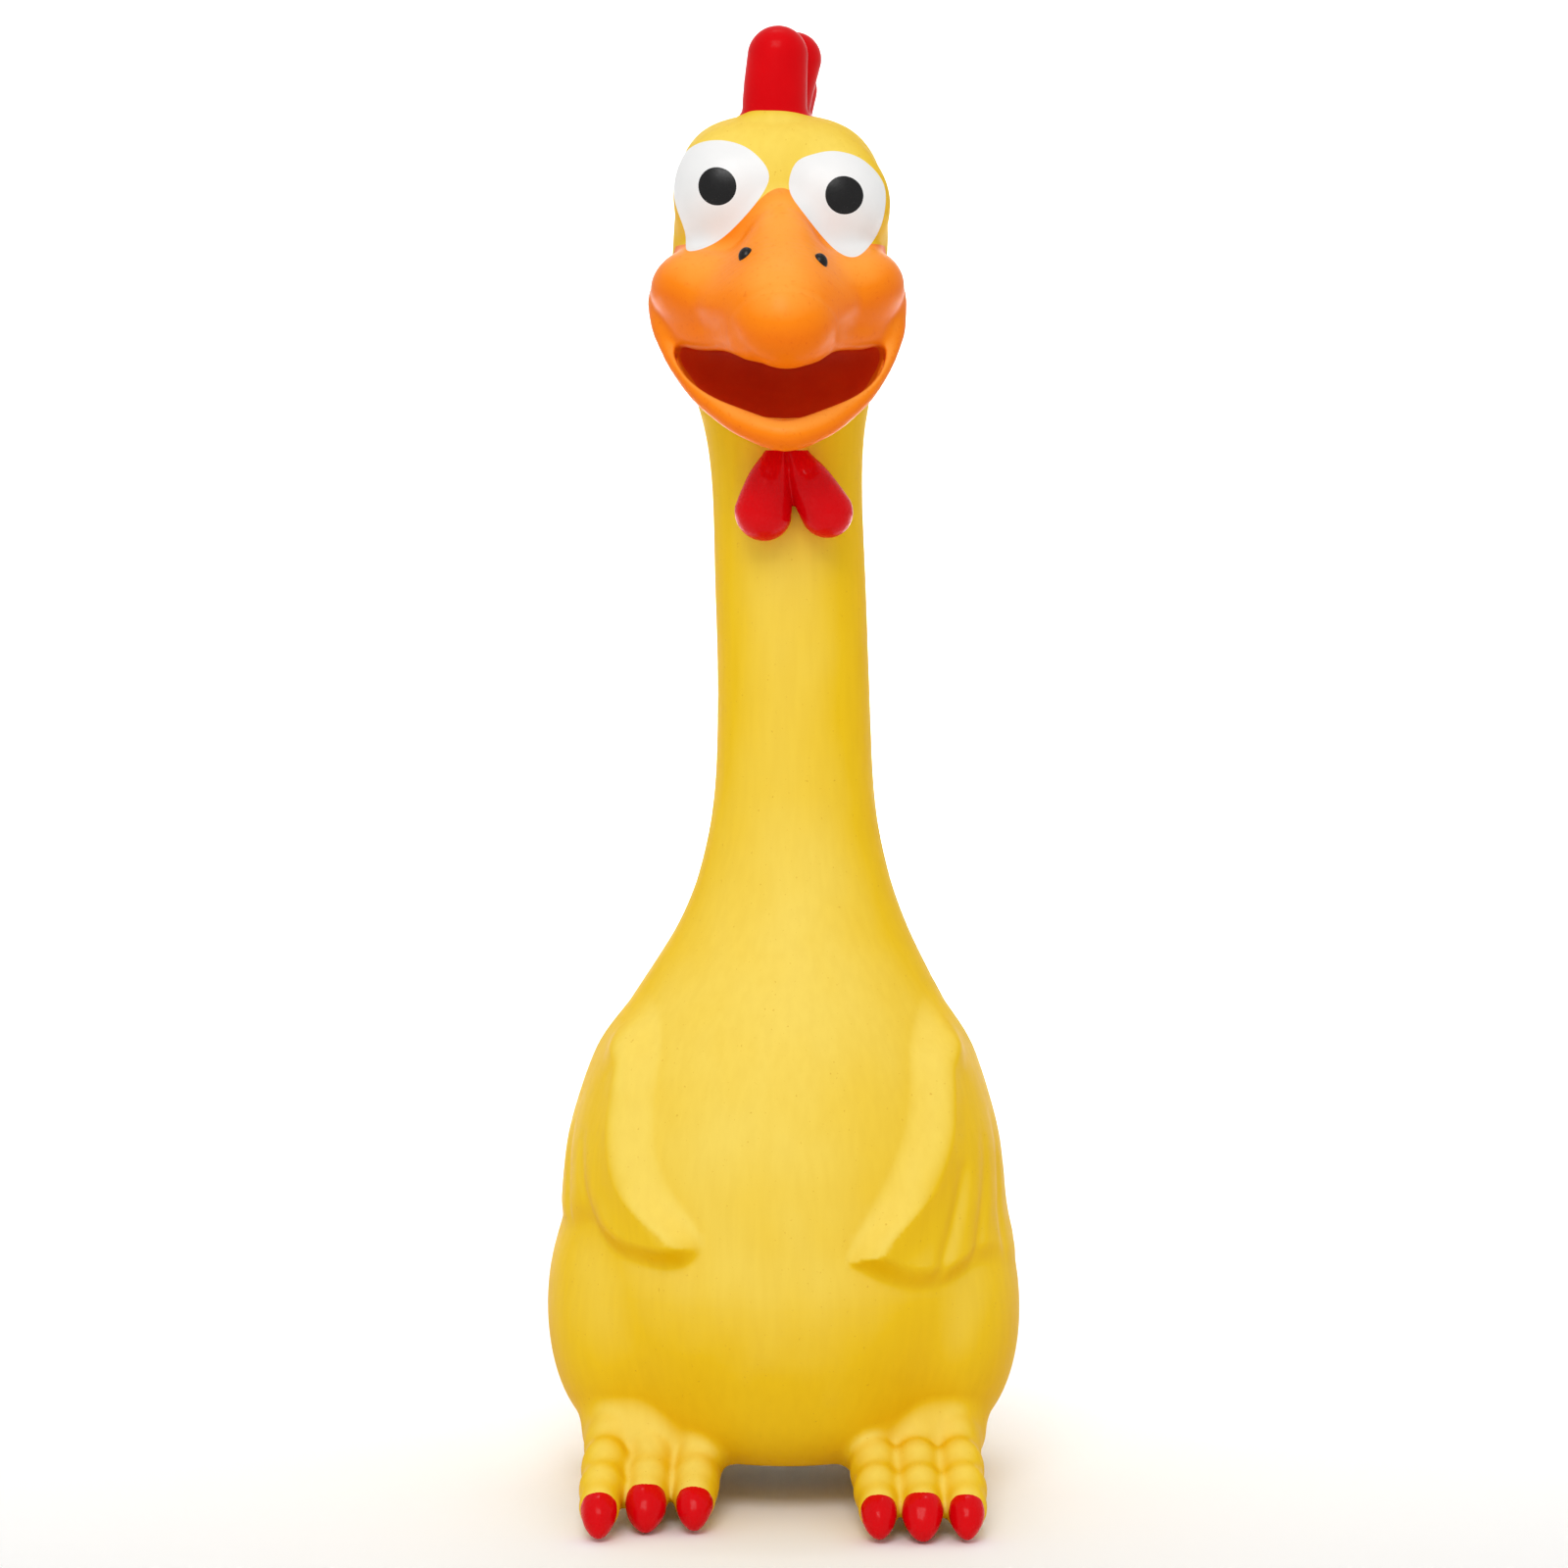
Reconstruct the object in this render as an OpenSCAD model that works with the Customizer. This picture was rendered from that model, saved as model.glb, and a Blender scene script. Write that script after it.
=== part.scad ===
// Rubber chicken: a hollow latex squeeze toy that stands on its own two feet.
// The skin is split where the rubber bends, so the neck, jaw, comb and belly can move.
// +Z is up, the chicken faces -Y, and the origin is on the floor under the middle of the toy.

/* [Heights] */
// Gap between the floor and the flat bottom of the belly
leg_h = 8; // [6:0.5:12]
// Bottom of the belly to the foot of the neck
belly_h = 82; // [68:1:100]
// Bottom of the belly to its widest place
belly_widest_h = 28; // [23:1:34]
// Length of the bending neck
neck_len = 66; // [55:0.2:80]
// Throat to crown
head_h = 68; // [60:1:80]
// Throat to the widest place of the head
head_widest_h = 44; // [38:1:50]
// Crown to the top of the comb
comb_h = 16; // [13:0.5:20]

/* [Widths] */
// Belly diameter
belly_d = 76; // [63:1:92]
// Neck diameter
neck_d = 25; // [21:0.5:30]
// Head diameter
head_d = 35.4; // [29.5:0.1:42.5]
// How far the claws stand out in front of the belly, and the tail behind it
tip_out = 6; // [5:0.5:9]

/* [Skin] */
// Thickness of the latex
wall = 2.4; // [1.6:0.1:3]
// Length of each bending stretch of the neck
flex_len = 12; // [9:0.2:14.4]
// Space kept between pieces that move past each other
play = 0.4; // [0.3:0.1:0.8]

/* [Belly press] */
// Width of the patch that a thumb pushes in
press_w = 22; // [18:1:26]
// Height of that patch
press_h = 44; // [36:1:54]
// Height of its middle above the bottom of the belly
press_mid_h = 42; // [38:1:48]

/* [Wings and tail] */
// How far a wing stands proud of the belly
wing_t = 2.6; // [1.6:0.2:4]
// Radius of the tail's root
tail_root_r = 7; // [5:0.5:9]
// Radius of the tail's tip
tail_tip_r = 3; // [2:0.5:4]

/* [Feet] */
// Space between the squeaker's flange and the ankle beside it
foot_gap = 0.5; // [0.3:0.1:4]
// Distance between the middles of two toes
toe_gap = 7.6; // [6.3:0.1:9.2]
// Radius of a toe at its tip
toe_r = 4.2; // [3.4:0.2:5]
// Radius of a claw
claw_r = 2.9; // [2.2:0.1:3.4]

/* [Face] */
// How far the corners of the beak stand out of the sides of the head
cheek_out = 1.9; // [1:0.1:3]
// Front of the head to the tip of the upper beak
beak_len = 23.8; // [18:0.2:28.6]
// How far the lower beak stops short of that tip
chin_back = 8; // [6:0.5:12]
// Throat to the corners of the mouth
mouth_h = 31; // [27:0.5:35]
// Skin left on each side of the mouth cavity
mouth_side = 5.2; // [4.5:0.1:7]
// Height of the mouth cavity
mouth_gap = 12; // [9:0.5:14]
// Depth of the mouth cavity behind the front of the head
mouth_depth = 20; // [14:0.5:24]
// Thickness of a painted eye
eye_t = 0.8; // [0.5:0.1:1.2]
// Radius of a pupil
pupil_r = 3.1; // [2.5:0.1:3.6]
// Space between the lower beak and the head
jaw_play = 0.8; // [0.6:0.1:1.2]
// How far the lower beak can be pulled down, in degrees
jaw_open = 16; // [8:1:20]
// Radius of the comb's lobes
comb_r = 5.3; // [4:0.1:6.4]
// Distance between the comb's lobes
lobe_gap = 7.8; // [6.5:0.1:9]
// Height of the bending foot of the comb above the crown
comb_root_h = 2; // [1.6:0.2:3]

/* [Squeaker] */
// Radius of the plug, and of the hole in the belly that grips it
plug_r = 9; // [7.5:0.5:11]
// Height of the latex collar round the plug
collar_h = 7; // [6:0.5:9]
// Thickness of the plug's flange
flange_t = 1.5; // [1:0.1:2]
// Width of the plug's flange and lip outside its barrel
flange_w = 2; // [1:0.2:3]
// Radius of the sound hole
sound_r = 1.6; // [1.2:0.1:2]
// Outer radius of the reed tube
tube_r = 3.5; // [3:0.1:4.5]
// Wall of the reed tube
tube_wall = 0.8; // [0.6:0.1:1]
// Length of the reed tube
tube_len = 17; // [14:0.5:20]
// Length of the reed
reed_len = 10; // [8:0.5:12]
// Thickness of the reed
reed_t = 0.4; // [0.3:0.05:0.5]
// Space that the reed can flutter in, over the block
reed_gap = 0.3; // [0.25:0.05:0.4]

/* [Hidden] */

round_fn = 48;
ball_fn = 24;
step = 3;         // height of one band of the skin's outline
eps = 0.01;

belly_r = belly_d / 2;
neck_r = neck_d / 2;
head_r = head_d / 2;

base_z = leg_h;
belly_z = base_z + belly_widest_h;
neck_z = base_z + belly_h;
throat_z = neck_z + neck_len;
head_z = throat_z + head_widest_h;
crown_z = throat_z + head_h;
mouth_z = throat_z + mouth_h - mouth_gap / 4;
top_z = crown_z + comb_h;
reach = belly_r + tip_out;
mouth_w = head_d - 2 * mouth_side;
ankle_r = leg_h + 2.5;
foot_x = plug_r + flange_w + foot_gap + ankle_r;     // middle of the toy to the middle of a foot
ring_len = (neck_len - 4 * flex_len) / 3;

// The belly is an ellipse below its widest place, and its pole lies under the flat bottom.
belly_pole = belly_widest_h / 0.8;
crown_power = 3.2;

// The shoulder runs from the widest belly to the neck: [share of the way up, share of the swelling left].
shoulder_end_z = neck_z + 36;
shoulder = [[0, 1], [0.11, 0.97], [0.22, 0.88], [0.33, 0.76], [0.43, 0.61], [0.52, 0.42],
            [0.6, 0.25], [0.72, 0.115], [0.87, 0.03], [1, 0]];

function span(t, s, i = 0) = i >= len(s) - 2 || t < s[i + 1][0] ? i : span(t, s, i + 1);
function tangent(s, i) =
    let (a = max(i - 1, 0), b = min(i + 1, len(s) - 1))
    (s[b][1] - s[a][1]) / (s[b][0] - s[a][0]);
function curve_at(t, s) =
    let (i = span(t, s), w = s[i + 1][0] - s[i][0], u = (t - s[i][0]) / w)
    s[i][1] * (1 + 2 * u) * pow(1 - u, 2) + w * tangent(s, i) * u * pow(1 - u, 2)
    + s[i + 1][1] * u * u * (3 - 2 * u) + w * tangent(s, i + 1) * u * u * (u - 1);

// Outer radius of the skin at a height.
function skin_r(z) =
    z < belly_z ? belly_r * sqrt(max(0, 1 - pow((belly_z - z) / belly_pole, 2))) :
    z < shoulder_end_z ?
        neck_r + (belly_r - neck_r) * curve_at((z - belly_z) / (shoulder_end_z - belly_z), shoulder) :
    z < throat_z ? neck_r :
    z < head_z ? neck_r + (head_r - neck_r) * (1 - cos(180 * (z - throat_z) / head_widest_h)) / 2 :
    head_r * pow(max(0, 1 - pow((z - head_z) / (crown_z - head_z), crown_power)), 1 / crown_power);

// Inner radius: the outline moved in by the wall, square to its own slope.
function cavity_r(z) = max(0, min([for (a = [-90:30:90]) skin_r(z + wall * sin(a)) - wall * cos(a)]));

// The skin is drawn as bands between these heights, so that all pieces of it share the same surface.
// The bands are short under the crown, where it curves most.
crown_bands = 10;
heights = [for (z = [base_z:step:head_z - step]) z,
           for (i = [0:crown_bands]) head_z + (crown_z - head_z) * (1 - pow(1 - i / crown_bands, 2))];
outer_table = [for (z = heights) [z, max(0.05, skin_r(z))]];
inner_table = [for (z = heights) [z, max(0.05, cavity_r(z))]];

function between(lo, hi) = [lo, for (z = heights) if (z > lo + eps && z < hi - eps) z, hi];
function downwards(list) = [for (i = [len(list) - 1:-1:0]) list[i]];
function outer_r(z) = lookup(z, outer_table);

module skin_solid(lo, hi, grow = 0) {
    rotate_extrude($fn = round_fn)
        polygon([[0, lo], for (z = between(lo, hi)) [outer_r(z) + grow, z], [0, hi]]);
}

module cavity(lo, hi) {
    rotate_extrude($fn = round_fn)
        polygon([[0, lo], for (z = between(lo, hi)) [lookup(z, inner_table), z], [0, hi]]);
}

// A layer of the given thickness on the outside of the skin.
module layer(lo, hi, from, to) {
    difference() {
        skin_solid(lo, hi, to);
        skin_solid(lo - 1, hi + 1, from);
    }
}

// A tube of skin between two heights.
module skin_tube(lo, hi) {
    rotate_extrude($fn = round_fn)
        polygon([for (z = between(lo, hi)) [outer_r(z), z],
                 for (z = downwards(between(lo, hi))) [outer_r(z) - wall, z]]);
}

module ellipse(a, b) { polygon([for (i = [0:39]) [a * cos(9 * i), b * sin(9 * i)]]); }

// A bar of elliptical section that starts at the toy's axis and runs forwards, turned sideways by an angle.
module forward_bar(a, b, z, turn = 0, from = 0, to = 60) {
    rotate([0, 0, turn])
        translate([0, -from, z])
            rotate([90, 0, 0])
                linear_extrude(to - from)
                    ellipse(a, b);
}

module ball(p, r) { translate(p) sphere(r, $fn = ball_fn); }

module side(s) { mirror([s > 0 ? 0 : 1, 0, 0]) children(); }

/* ---- Belly ---- */

module belly_shell() {
    color("gold")
        difference() {
            union() {
                difference() {
                    skin_solid(base_z, neck_z);
                    cavity(base_z + wall, neck_z - eps);
                    translate([0, 0, neck_z - wall - 1])
                        cylinder(r = outer_r(neck_z) - wall, h = wall + 2, $fn = round_fn);
                }
                translate([0, 0, base_z])
                    cylinder(r = plug_r + wall, h = collar_h, $fn = round_fn);
            }
            translate([0, 0, base_z - 1])
                cylinder(r = plug_r, h = collar_h + 2, $fn = round_fn);
            forward_bar(press_w / 2, press_h / 2, base_z + press_mid_h, from = 5);
        }
}

module belly_press_patch() {
    color("gold")
        intersection() {
            difference() {
                skin_solid(base_z, neck_z);
                cavity(base_z + wall, neck_z - eps);
            }
            forward_bar(press_w / 2 - play, press_h / 2 - play, base_z + press_mid_h, from = 5);
        }
}

// The wing's outline from the side: [share of the belly's radius behind its axis, share of its height].
wing_outline = [[-0.92, 0.45], [-0.66, 0.5], [-0.45, 0.63], [-0.42, 0.8], [-0.24, 0.9], [0, 0.93],
                [0.24, 0.88], [0.39, 0.76], [0.45, 0.61], [0.34, 0.49], [0.05, 0.4], [-0.37, 0.38],
                [-0.74, 0.4]];

module wing(s) {
    color("gold")
        side(s)
            intersection() {
                layer(base_z + 0.32 * belly_h, base_z + 0.95 * belly_h, 0, wing_t);
                translate([belly_r / 4, 0, base_z])
                    rotate([90, 0, 90])
                        linear_extrude(belly_r)
                            polygon([for (p = wing_outline) [p[0] * belly_r, p[1] * belly_h]]);
            }
}

module tail() {
    color("gold")
        difference() {
            hull() {
                ball([0, belly_r - tail_root_r, belly_z + 6], tail_root_r);
                ball([0, reach - tail_tip_r, belly_z + 18], tail_tip_r);
            }
            skin_solid(base_z, neck_z);
        }
}

/* ---- Feet ---- */

ankle_y = -12;
heel_y = 14;

function toe_x(i) = foot_x + (i - 1) * toe_gap;        // toe 0 is the inner one
function toe_tip_y(i) = i == 1 ? 0 : 1.2;              // the middle toe reaches furthest

module claw(s, i) {
    color("crimson")
        side(s)
            hull() {
                ball([toe_x(i), -reach + toe_tip_y(i) + claw_r + 1.4, 5.6], claw_r);
                ball([toe_x(i), -reach + toe_tip_y(i) + claw_r / 2, 2.2], claw_r / 2);
            }
}

module toe(i) {
    hull() {
        ball([toe_x(i) * 0.96, ankle_y - 8, leg_h + 4], toe_r + 1);
        ball([toe_x(i), ankle_y - 8, toe_r - 0.2], toe_r);
        ball([toe_x(i), -reach + toe_tip_y(i) + toe_r + 1.6, toe_r - 0.2], toe_r);
    }
}

module foot(s) {
    color("gold")
        difference() {
            intersection() {
                side(s)
                    union() {
                        for (i = [0:2]) toe(i);
                        hull() {
                            ball([foot_x, ankle_y, leg_h], ankle_r);
                            ball([foot_x - 1, heel_y, leg_h / 2], leg_h - 0.5);
                        }
                    }
                translate([-belly_d, -belly_d, 0])
                    cube([2 * belly_d, 2 * belly_d, belly_d]);
            }
            skin_solid(base_z, neck_z);
            for (i = [0:2]) claw(s, i);
        }
}

/* ---- Neck: four bending stretches with three firm rings between them ---- */

function flex_z(i) = neck_z + (i - 1) * (flex_len + ring_len);

module neck_flex(i) { color("gold") skin_tube(flex_z(i), flex_z(i) + flex_len); }

module neck_ring(i) { color("gold") skin_tube(flex_z(i) + flex_len, flex_z(i + 1)); }

/* ---- Head ---- */

module head_shell() {
    color("gold")
        difference() {
            skin_solid(throat_z, crown_z);
            cavity(throat_z + wall, crown_z - wall);
            translate([0, 0, throat_z - 1])
                cylinder(r = neck_r - wall, h = wall + 2, $fn = round_fn);
            forward_bar(mouth_w / 2 + eps, mouth_gap / 2 + eps, mouth_z, from = 6);
        }
}

module mouth_lining() {
    color("darkred")
        intersection() {
            difference() {
                forward_bar(mouth_w / 2, mouth_gap / 2, mouth_z, from = head_r - mouth_depth);
                forward_bar(mouth_w / 2 - wall / 2, mouth_gap / 2 - wall / 2, mouth_z,
                            from = head_r - mouth_depth + wall / 2, to = 61);
            }
            skin_solid(throat_z, head_z);
        }
}

// Seats that the beak's two halves are cut to.
module head_seat(grow = 0) { skin_solid(throat_z, crown_z, grow); }

beak_half_w = head_r + cheek_out;
beak_reach = head_r + beak_len;
chin_reach = beak_reach - chin_back;
cheek_r = 5;
cheek_y = -9;
cheek_z = throat_z + mouth_h + 8;
tip_r = 3.6;
lip_r = 3.2;
lip_z = throat_z + mouth_h - 1.5;
chin_r = 5;
chin_z = throat_z + 21.5;
jaw_y = -4;                       // the lower beak turns about a line across the head, here
jaw_z = throat_z + 24;

module upper_beak_form() {
    hull() {
        for (s = [-1, 1]) ball([s * (beak_half_w - cheek_r), cheek_y, cheek_z], cheek_r);
        ball([0, -head_r + 3, crown_z - 15], 3.5);
        ball([0, -beak_reach + tip_r, mouth_z + 3.6], tip_r);
    }
}

module upper_beak() {
    color("darkorange")
        difference() {
            upper_beak_form();
            head_seat();
            nostrils();
        }
}

// Turns what follows about the jaw's line; a positive angle opens the beak.
module about_jaw(angle) {
    translate([0, jaw_y, jaw_z])
        rotate([angle, 0, 0])
            translate([0, -jaw_y, -jaw_z])
                children();
}

module lower_beak() {
    color("darkorange")
        difference() {
            hull() {
                for (s = [-1, 1]) ball([s * (beak_half_w - lip_r), cheek_y - 1, lip_z], lip_r);
                ball([0, -chin_reach + chin_r, chin_z], chin_r);
                ball([0, -neck_r - 5, throat_z + 19], 2.5);
            }
            hull() {
                for (s = [-1, 1]) ball([s * (beak_half_w - 6), cheek_y - 1, lip_z + 3], 3.6);
                ball([0, -chin_reach + chin_r + 2, chin_z + 4.5], 4.6);
                ball([0, -head_r, chin_z + 5], 3);
            }
            for (angle = [0, jaw_open]) about_jaw(-angle) head_seat(jaw_play);
        }
}

nostril_r = 1.3;

module nostrils() {
    color("black")
        for (s = [-1, 1])
            ball([s * 5.4, -head_r - 4.4, crown_z - 22.5], nostril_r);
}

eye_turn = 33;
eye_z = crown_z - 12.5;
eye_half_w = 7;
eye_half_h = 8.2;

module eye_white(s) {
    color("white")
        difference() {
            intersection() {
                layer(head_z - 6, crown_z - 0.5, 0, eye_t);
                forward_bar(eye_half_w, eye_half_h, eye_z, turn = s * eye_turn, from = 4, to = 30);
            }
            upper_beak_form();
        }
}

module pupil(s) {
    color("black")
        intersection() {
            layer(head_z, crown_z - 1, eye_t, 2 * eye_t);
            forward_bar(pupil_r, pupil_r, eye_z + 1, turn = s * eye_turn, from = 4, to = 30);
        }
}

module wattle(s) {
    color("crimson")
        difference() {
            side(s)
                hull() {
                    ball([2.4, -neck_r - 1, throat_z + 10.5], 2);
                    ball([5.6, -neck_r + 0.6, throat_z + 5.2], 4.2);
                }
            head_seat();
            translate([s > 0 ? -20 : eps, -30, throat_z - 10])
                cube([20, 30, 40]);
        }
}

// The comb's lobes from front to back: [place behind the axis, height below the top].
lobes = [[-4.6, 0], [-4.6 + lobe_gap, 1], [-4.6 + 2 * lobe_gap, 4.5]];

module comb_blank() {
    for (l = lobes)
        hull() {
            ball([0, l[0], top_z - l[1] - comb_r], comb_r);
            ball([0, l[0] * 0.9, crown_z - 8], comb_r - 0.5);
        }
}

module comb_root() {
    color("crimson")
        difference() {
            intersection() {
                comb_blank();
                translate([-20, -20, crown_z - 20])
                    cube([40, 40, 20 + comb_root_h]);
            }
            head_seat();
        }
}

module comb() {
    color("crimson")
        intersection() {
            comb_blank();
            translate([-20, -20, crown_z + comb_root_h])
                cube([40, 40, comb_h + 20]);
        }
}

/* ---- Squeaker ---- */

tube_z = base_z + 1.5;                // foot of the reed tube
lip_t = 1.5;
reed_w = tube_r * 1.1;
reed_foot_z = tube_z + 1.5;
clip_h = 2.5;
clip_play = 0.1;

module squeaker_plug() {
    color("ivory")
        difference() {
            union() {
                translate([0, 0, base_z - flange_t])
                    cylinder(r = plug_r + flange_w, h = flange_t, $fn = round_fn);
                translate([0, 0, base_z - eps])
                    cylinder(r = plug_r, h = collar_h + 2 * eps, $fn = round_fn);
                translate([0, 0, base_z + collar_h])
                    cylinder(r = plug_r + flange_w / 2, h = lip_t, $fn = round_fn);
            }
            difference() {
                translate([0, 0, base_z + 1])
                    cylinder(r = plug_r - 1.4, h = collar_h + lip_t, $fn = round_fn);
                cylinder(r = tube_r + 1.2, h = base_z + collar_h + 2, $fn = round_fn);
            }
            translate([0, 0, tube_z])
                cylinder(r = tube_r, h = collar_h + 3, $fn = round_fn);
            translate([0, 0, base_z - flange_t - 1])
                cylinder(r = sound_r, h = flange_t + 4, $fn = round_fn);
        }
}

module reed_tube() {
    color("white")
        translate([0, 0, tube_z])
            difference() {
                cylinder(r = tube_r, h = tube_len, $fn = round_fn);
                translate([0, 0, -1])
                    cylinder(r = tube_r - tube_wall, h = tube_len + 2, $fn = round_fn);
            }
}

// The inside of the reed tube between two heights, on one side of the plane y = cut.
module tube_half(lo, hi, cut, s) {
    intersection() {
        translate([0, 0, lo])
            cylinder(r = tube_r - tube_wall, h = hi - lo, $fn = round_fn);
        translate([-tube_r, s > 0 ? cut : cut - 2 * tube_r, lo])
            cube([2 * tube_r, 2 * tube_r, hi - lo]);
    }
}

module reed_block() {
    color("lightgray")
        difference() {
            tube_half(reed_foot_z, reed_foot_z + reed_len, reed_gap, 1);
            translate([-0.8, 0, reed_foot_z + clip_h])
                cube([1.6, 1.5, reed_len]);
        }
}

module reed_clip() {
    color("gray")
        tube_half(reed_foot_z, reed_foot_z + clip_h, -reed_t - clip_play, -1);
}

module reed() {
    color("silver")
        translate([-reed_w / 2, -reed_t, reed_foot_z])
            cube([reed_w, reed_t, reed_len]);
}

/* ---- One line for each node ---- */

belly_shell();
belly_press_patch();
wing(-1);  // wing_left
wing(1);  // wing_right
tail();
foot(-1);  // foot_left
foot(1);  // foot_right
claw(-1, 0);  // claw_left_inner
claw(-1, 1);  // claw_left_middle
claw(-1, 2);  // claw_left_outer
claw(1, 0);  // claw_right_inner
claw(1, 1);  // claw_right_middle
claw(1, 2);  // claw_right_outer
neck_flex(1);  // neck_flex_1
neck_ring(1);  // neck_ring_1
neck_flex(2);  // neck_flex_2
neck_ring(2);  // neck_ring_2
neck_flex(3);  // neck_flex_3
neck_ring(3);  // neck_ring_3
neck_flex(4);  // neck_flex_4
head_shell();
mouth_lining();
upper_beak();
lower_beak();
nostrils();
eye_white(-1);  // eye_white_left
eye_white(1);  // eye_white_right
pupil(-1);  // pupil_left
pupil(1);  // pupil_right
wattle(-1);  // wattle_left
wattle(1);  // wattle_right
comb_root();
comb();
squeaker_plug();
reed_tube();
reed_block();
reed_clip();
reed();
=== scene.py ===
import math
import bpy
import numpy as np
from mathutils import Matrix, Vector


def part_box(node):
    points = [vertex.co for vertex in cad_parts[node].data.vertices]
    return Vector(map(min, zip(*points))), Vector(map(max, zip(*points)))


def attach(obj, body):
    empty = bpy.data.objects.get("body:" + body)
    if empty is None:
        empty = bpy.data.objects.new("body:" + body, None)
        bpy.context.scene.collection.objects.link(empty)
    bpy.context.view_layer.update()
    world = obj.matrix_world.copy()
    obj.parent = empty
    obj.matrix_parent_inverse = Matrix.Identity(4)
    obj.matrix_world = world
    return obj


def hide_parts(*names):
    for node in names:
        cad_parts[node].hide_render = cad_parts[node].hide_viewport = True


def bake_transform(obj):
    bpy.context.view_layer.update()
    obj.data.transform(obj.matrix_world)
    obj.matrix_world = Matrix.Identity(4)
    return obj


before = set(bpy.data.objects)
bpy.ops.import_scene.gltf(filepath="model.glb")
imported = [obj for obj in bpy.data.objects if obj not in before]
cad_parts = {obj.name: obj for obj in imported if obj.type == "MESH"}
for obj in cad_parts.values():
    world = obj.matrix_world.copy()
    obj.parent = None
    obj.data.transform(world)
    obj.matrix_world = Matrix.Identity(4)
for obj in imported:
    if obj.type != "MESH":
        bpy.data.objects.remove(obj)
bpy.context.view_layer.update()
print("frame loaded:", len(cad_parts), "nodes")

# Shapes are worked out in millimetres, as distances from the surface: negative inside, positive outside.
mm = 0.001


def smoothMin(a, b, k):  # joins two shapes with a fillet of about k
    h = np.clip(0.5 + 0.5 * (b - a) / k, 0, 1)
    return b + (a - b) * h - k * h * (1 - h)


def smoothMax(a, b, k):
    return -smoothMin(-a, -b, k)


def ease(t):  # 0 to 1 with soft ends
    t = np.clip(t, 0, 1)
    return t * t * (3 - 2 * t)


def smoothLine(points, steps, closed=False):  # a soft curve through a few points
    pts = np.array(points, float)
    if closed:
        ext = np.vstack([pts[-1], pts, pts[0], pts[1]])
    else:
        ext = np.vstack([2 * pts[0] - pts[1], pts, 2 * pts[-1] - pts[-2]])
    out = []
    for i in range(len(ext) - 3):
        a, b, c, d = ext[i:i + 4]
        for u in np.linspace(0, 1, steps, endpoint=False):
            bend = (2 * a - 5 * b + 4 * c - d) * u * u + (3 * b - a - 3 * c + d) * u ** 3
            out.append(0.5 * (2 * b + (c - a) * u + bend))
    if not closed:
        out.append(pts[-1])
    return np.array(out)


def ellipsoid(p, centre, radii):
    q = (p - np.array(centre, float)) / np.array(radii, float)
    far = np.linalg.norm(q, axis=1)
    slope = np.linalg.norm(q / np.array(radii, float), axis=1)
    return far * (far - 1) / np.maximum(slope, 1e-6)


def rope(p, points, steps=3):  # a round bar along points of (x, y, z, radius)
    line = smoothLine(points, steps)
    best = np.full(len(p), 1e3)
    for a, b in zip(line, line[1:]):
        ab = b[:3] - a[:3]
        t = np.clip((p - a[:3]) @ ab / (ab @ ab), 0, 1)
        away = np.linalg.norm(p - a[:3] - t[:, None] * ab, axis=1)
        best = np.minimum(best, away - a[3] - t * (b[3] - a[3]))
    return best


def wobble(p, size, seed):  # gentle unevenness between about -1 and 1, with lumps of that size
    rng = np.random.default_rng(seed)
    total = np.zeros(len(p))
    for _ in range(6):
        way = rng.normal(size=3)
        way *= 2 * math.pi * rng.uniform(0.6, 1.3) / size / np.linalg.norm(way)
        total += np.sin(p @ way + rng.uniform(0, 2 * math.pi))
    return total / 4


def outlineTable(line, low, high, step, closed=True):  # distances from a flat outline, kept as a table
    count = np.ceil((np.array(high) - low) / step).astype(int) + 1
    spots = np.indices(count).reshape(2, -1).T * step + low
    ends = np.roll(line, -1, axis=0) if closed else line[1:]
    best = np.full(len(spots), 1e6)
    odd = np.zeros(len(spots), bool)
    for a, b in zip(line, ends):
        ab = b - a
        t = np.clip((spots - a) @ ab / max(ab @ ab, 1e-12), 0, 1)
        best = np.minimum(best, np.linalg.norm(spots - a - t[:, None] * ab, axis=1))
        crosses = (a[1] > spots[:, 1]) != (b[1] > spots[:, 1])
        at = a[0] + (spots[:, 1] - a[1]) * ab[0] / (ab[1] if ab[1] else 1e-12)
        odd ^= crosses & (spots[:, 0] < at)
    if closed:
        best = np.where(odd, -best, best)
    return best.reshape(count), np.array(low, float), step


def lookUp(table, u, v):
    grid, low, step = table
    a = np.clip((u - low[0]) / step, 0, grid.shape[0] - 1.001)
    b = np.clip((v - low[1]) / step, 0, grid.shape[1] - 1.001)
    i, j = a.astype(int), b.astype(int)
    a, b = a - i, b - j
    near = grid[i, j] * (1 - b) + grid[i, j + 1] * b
    far = grid[i + 1, j] * (1 - b) + grid[i + 1, j + 1] * b
    return near * (1 - a) + far * a


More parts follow.
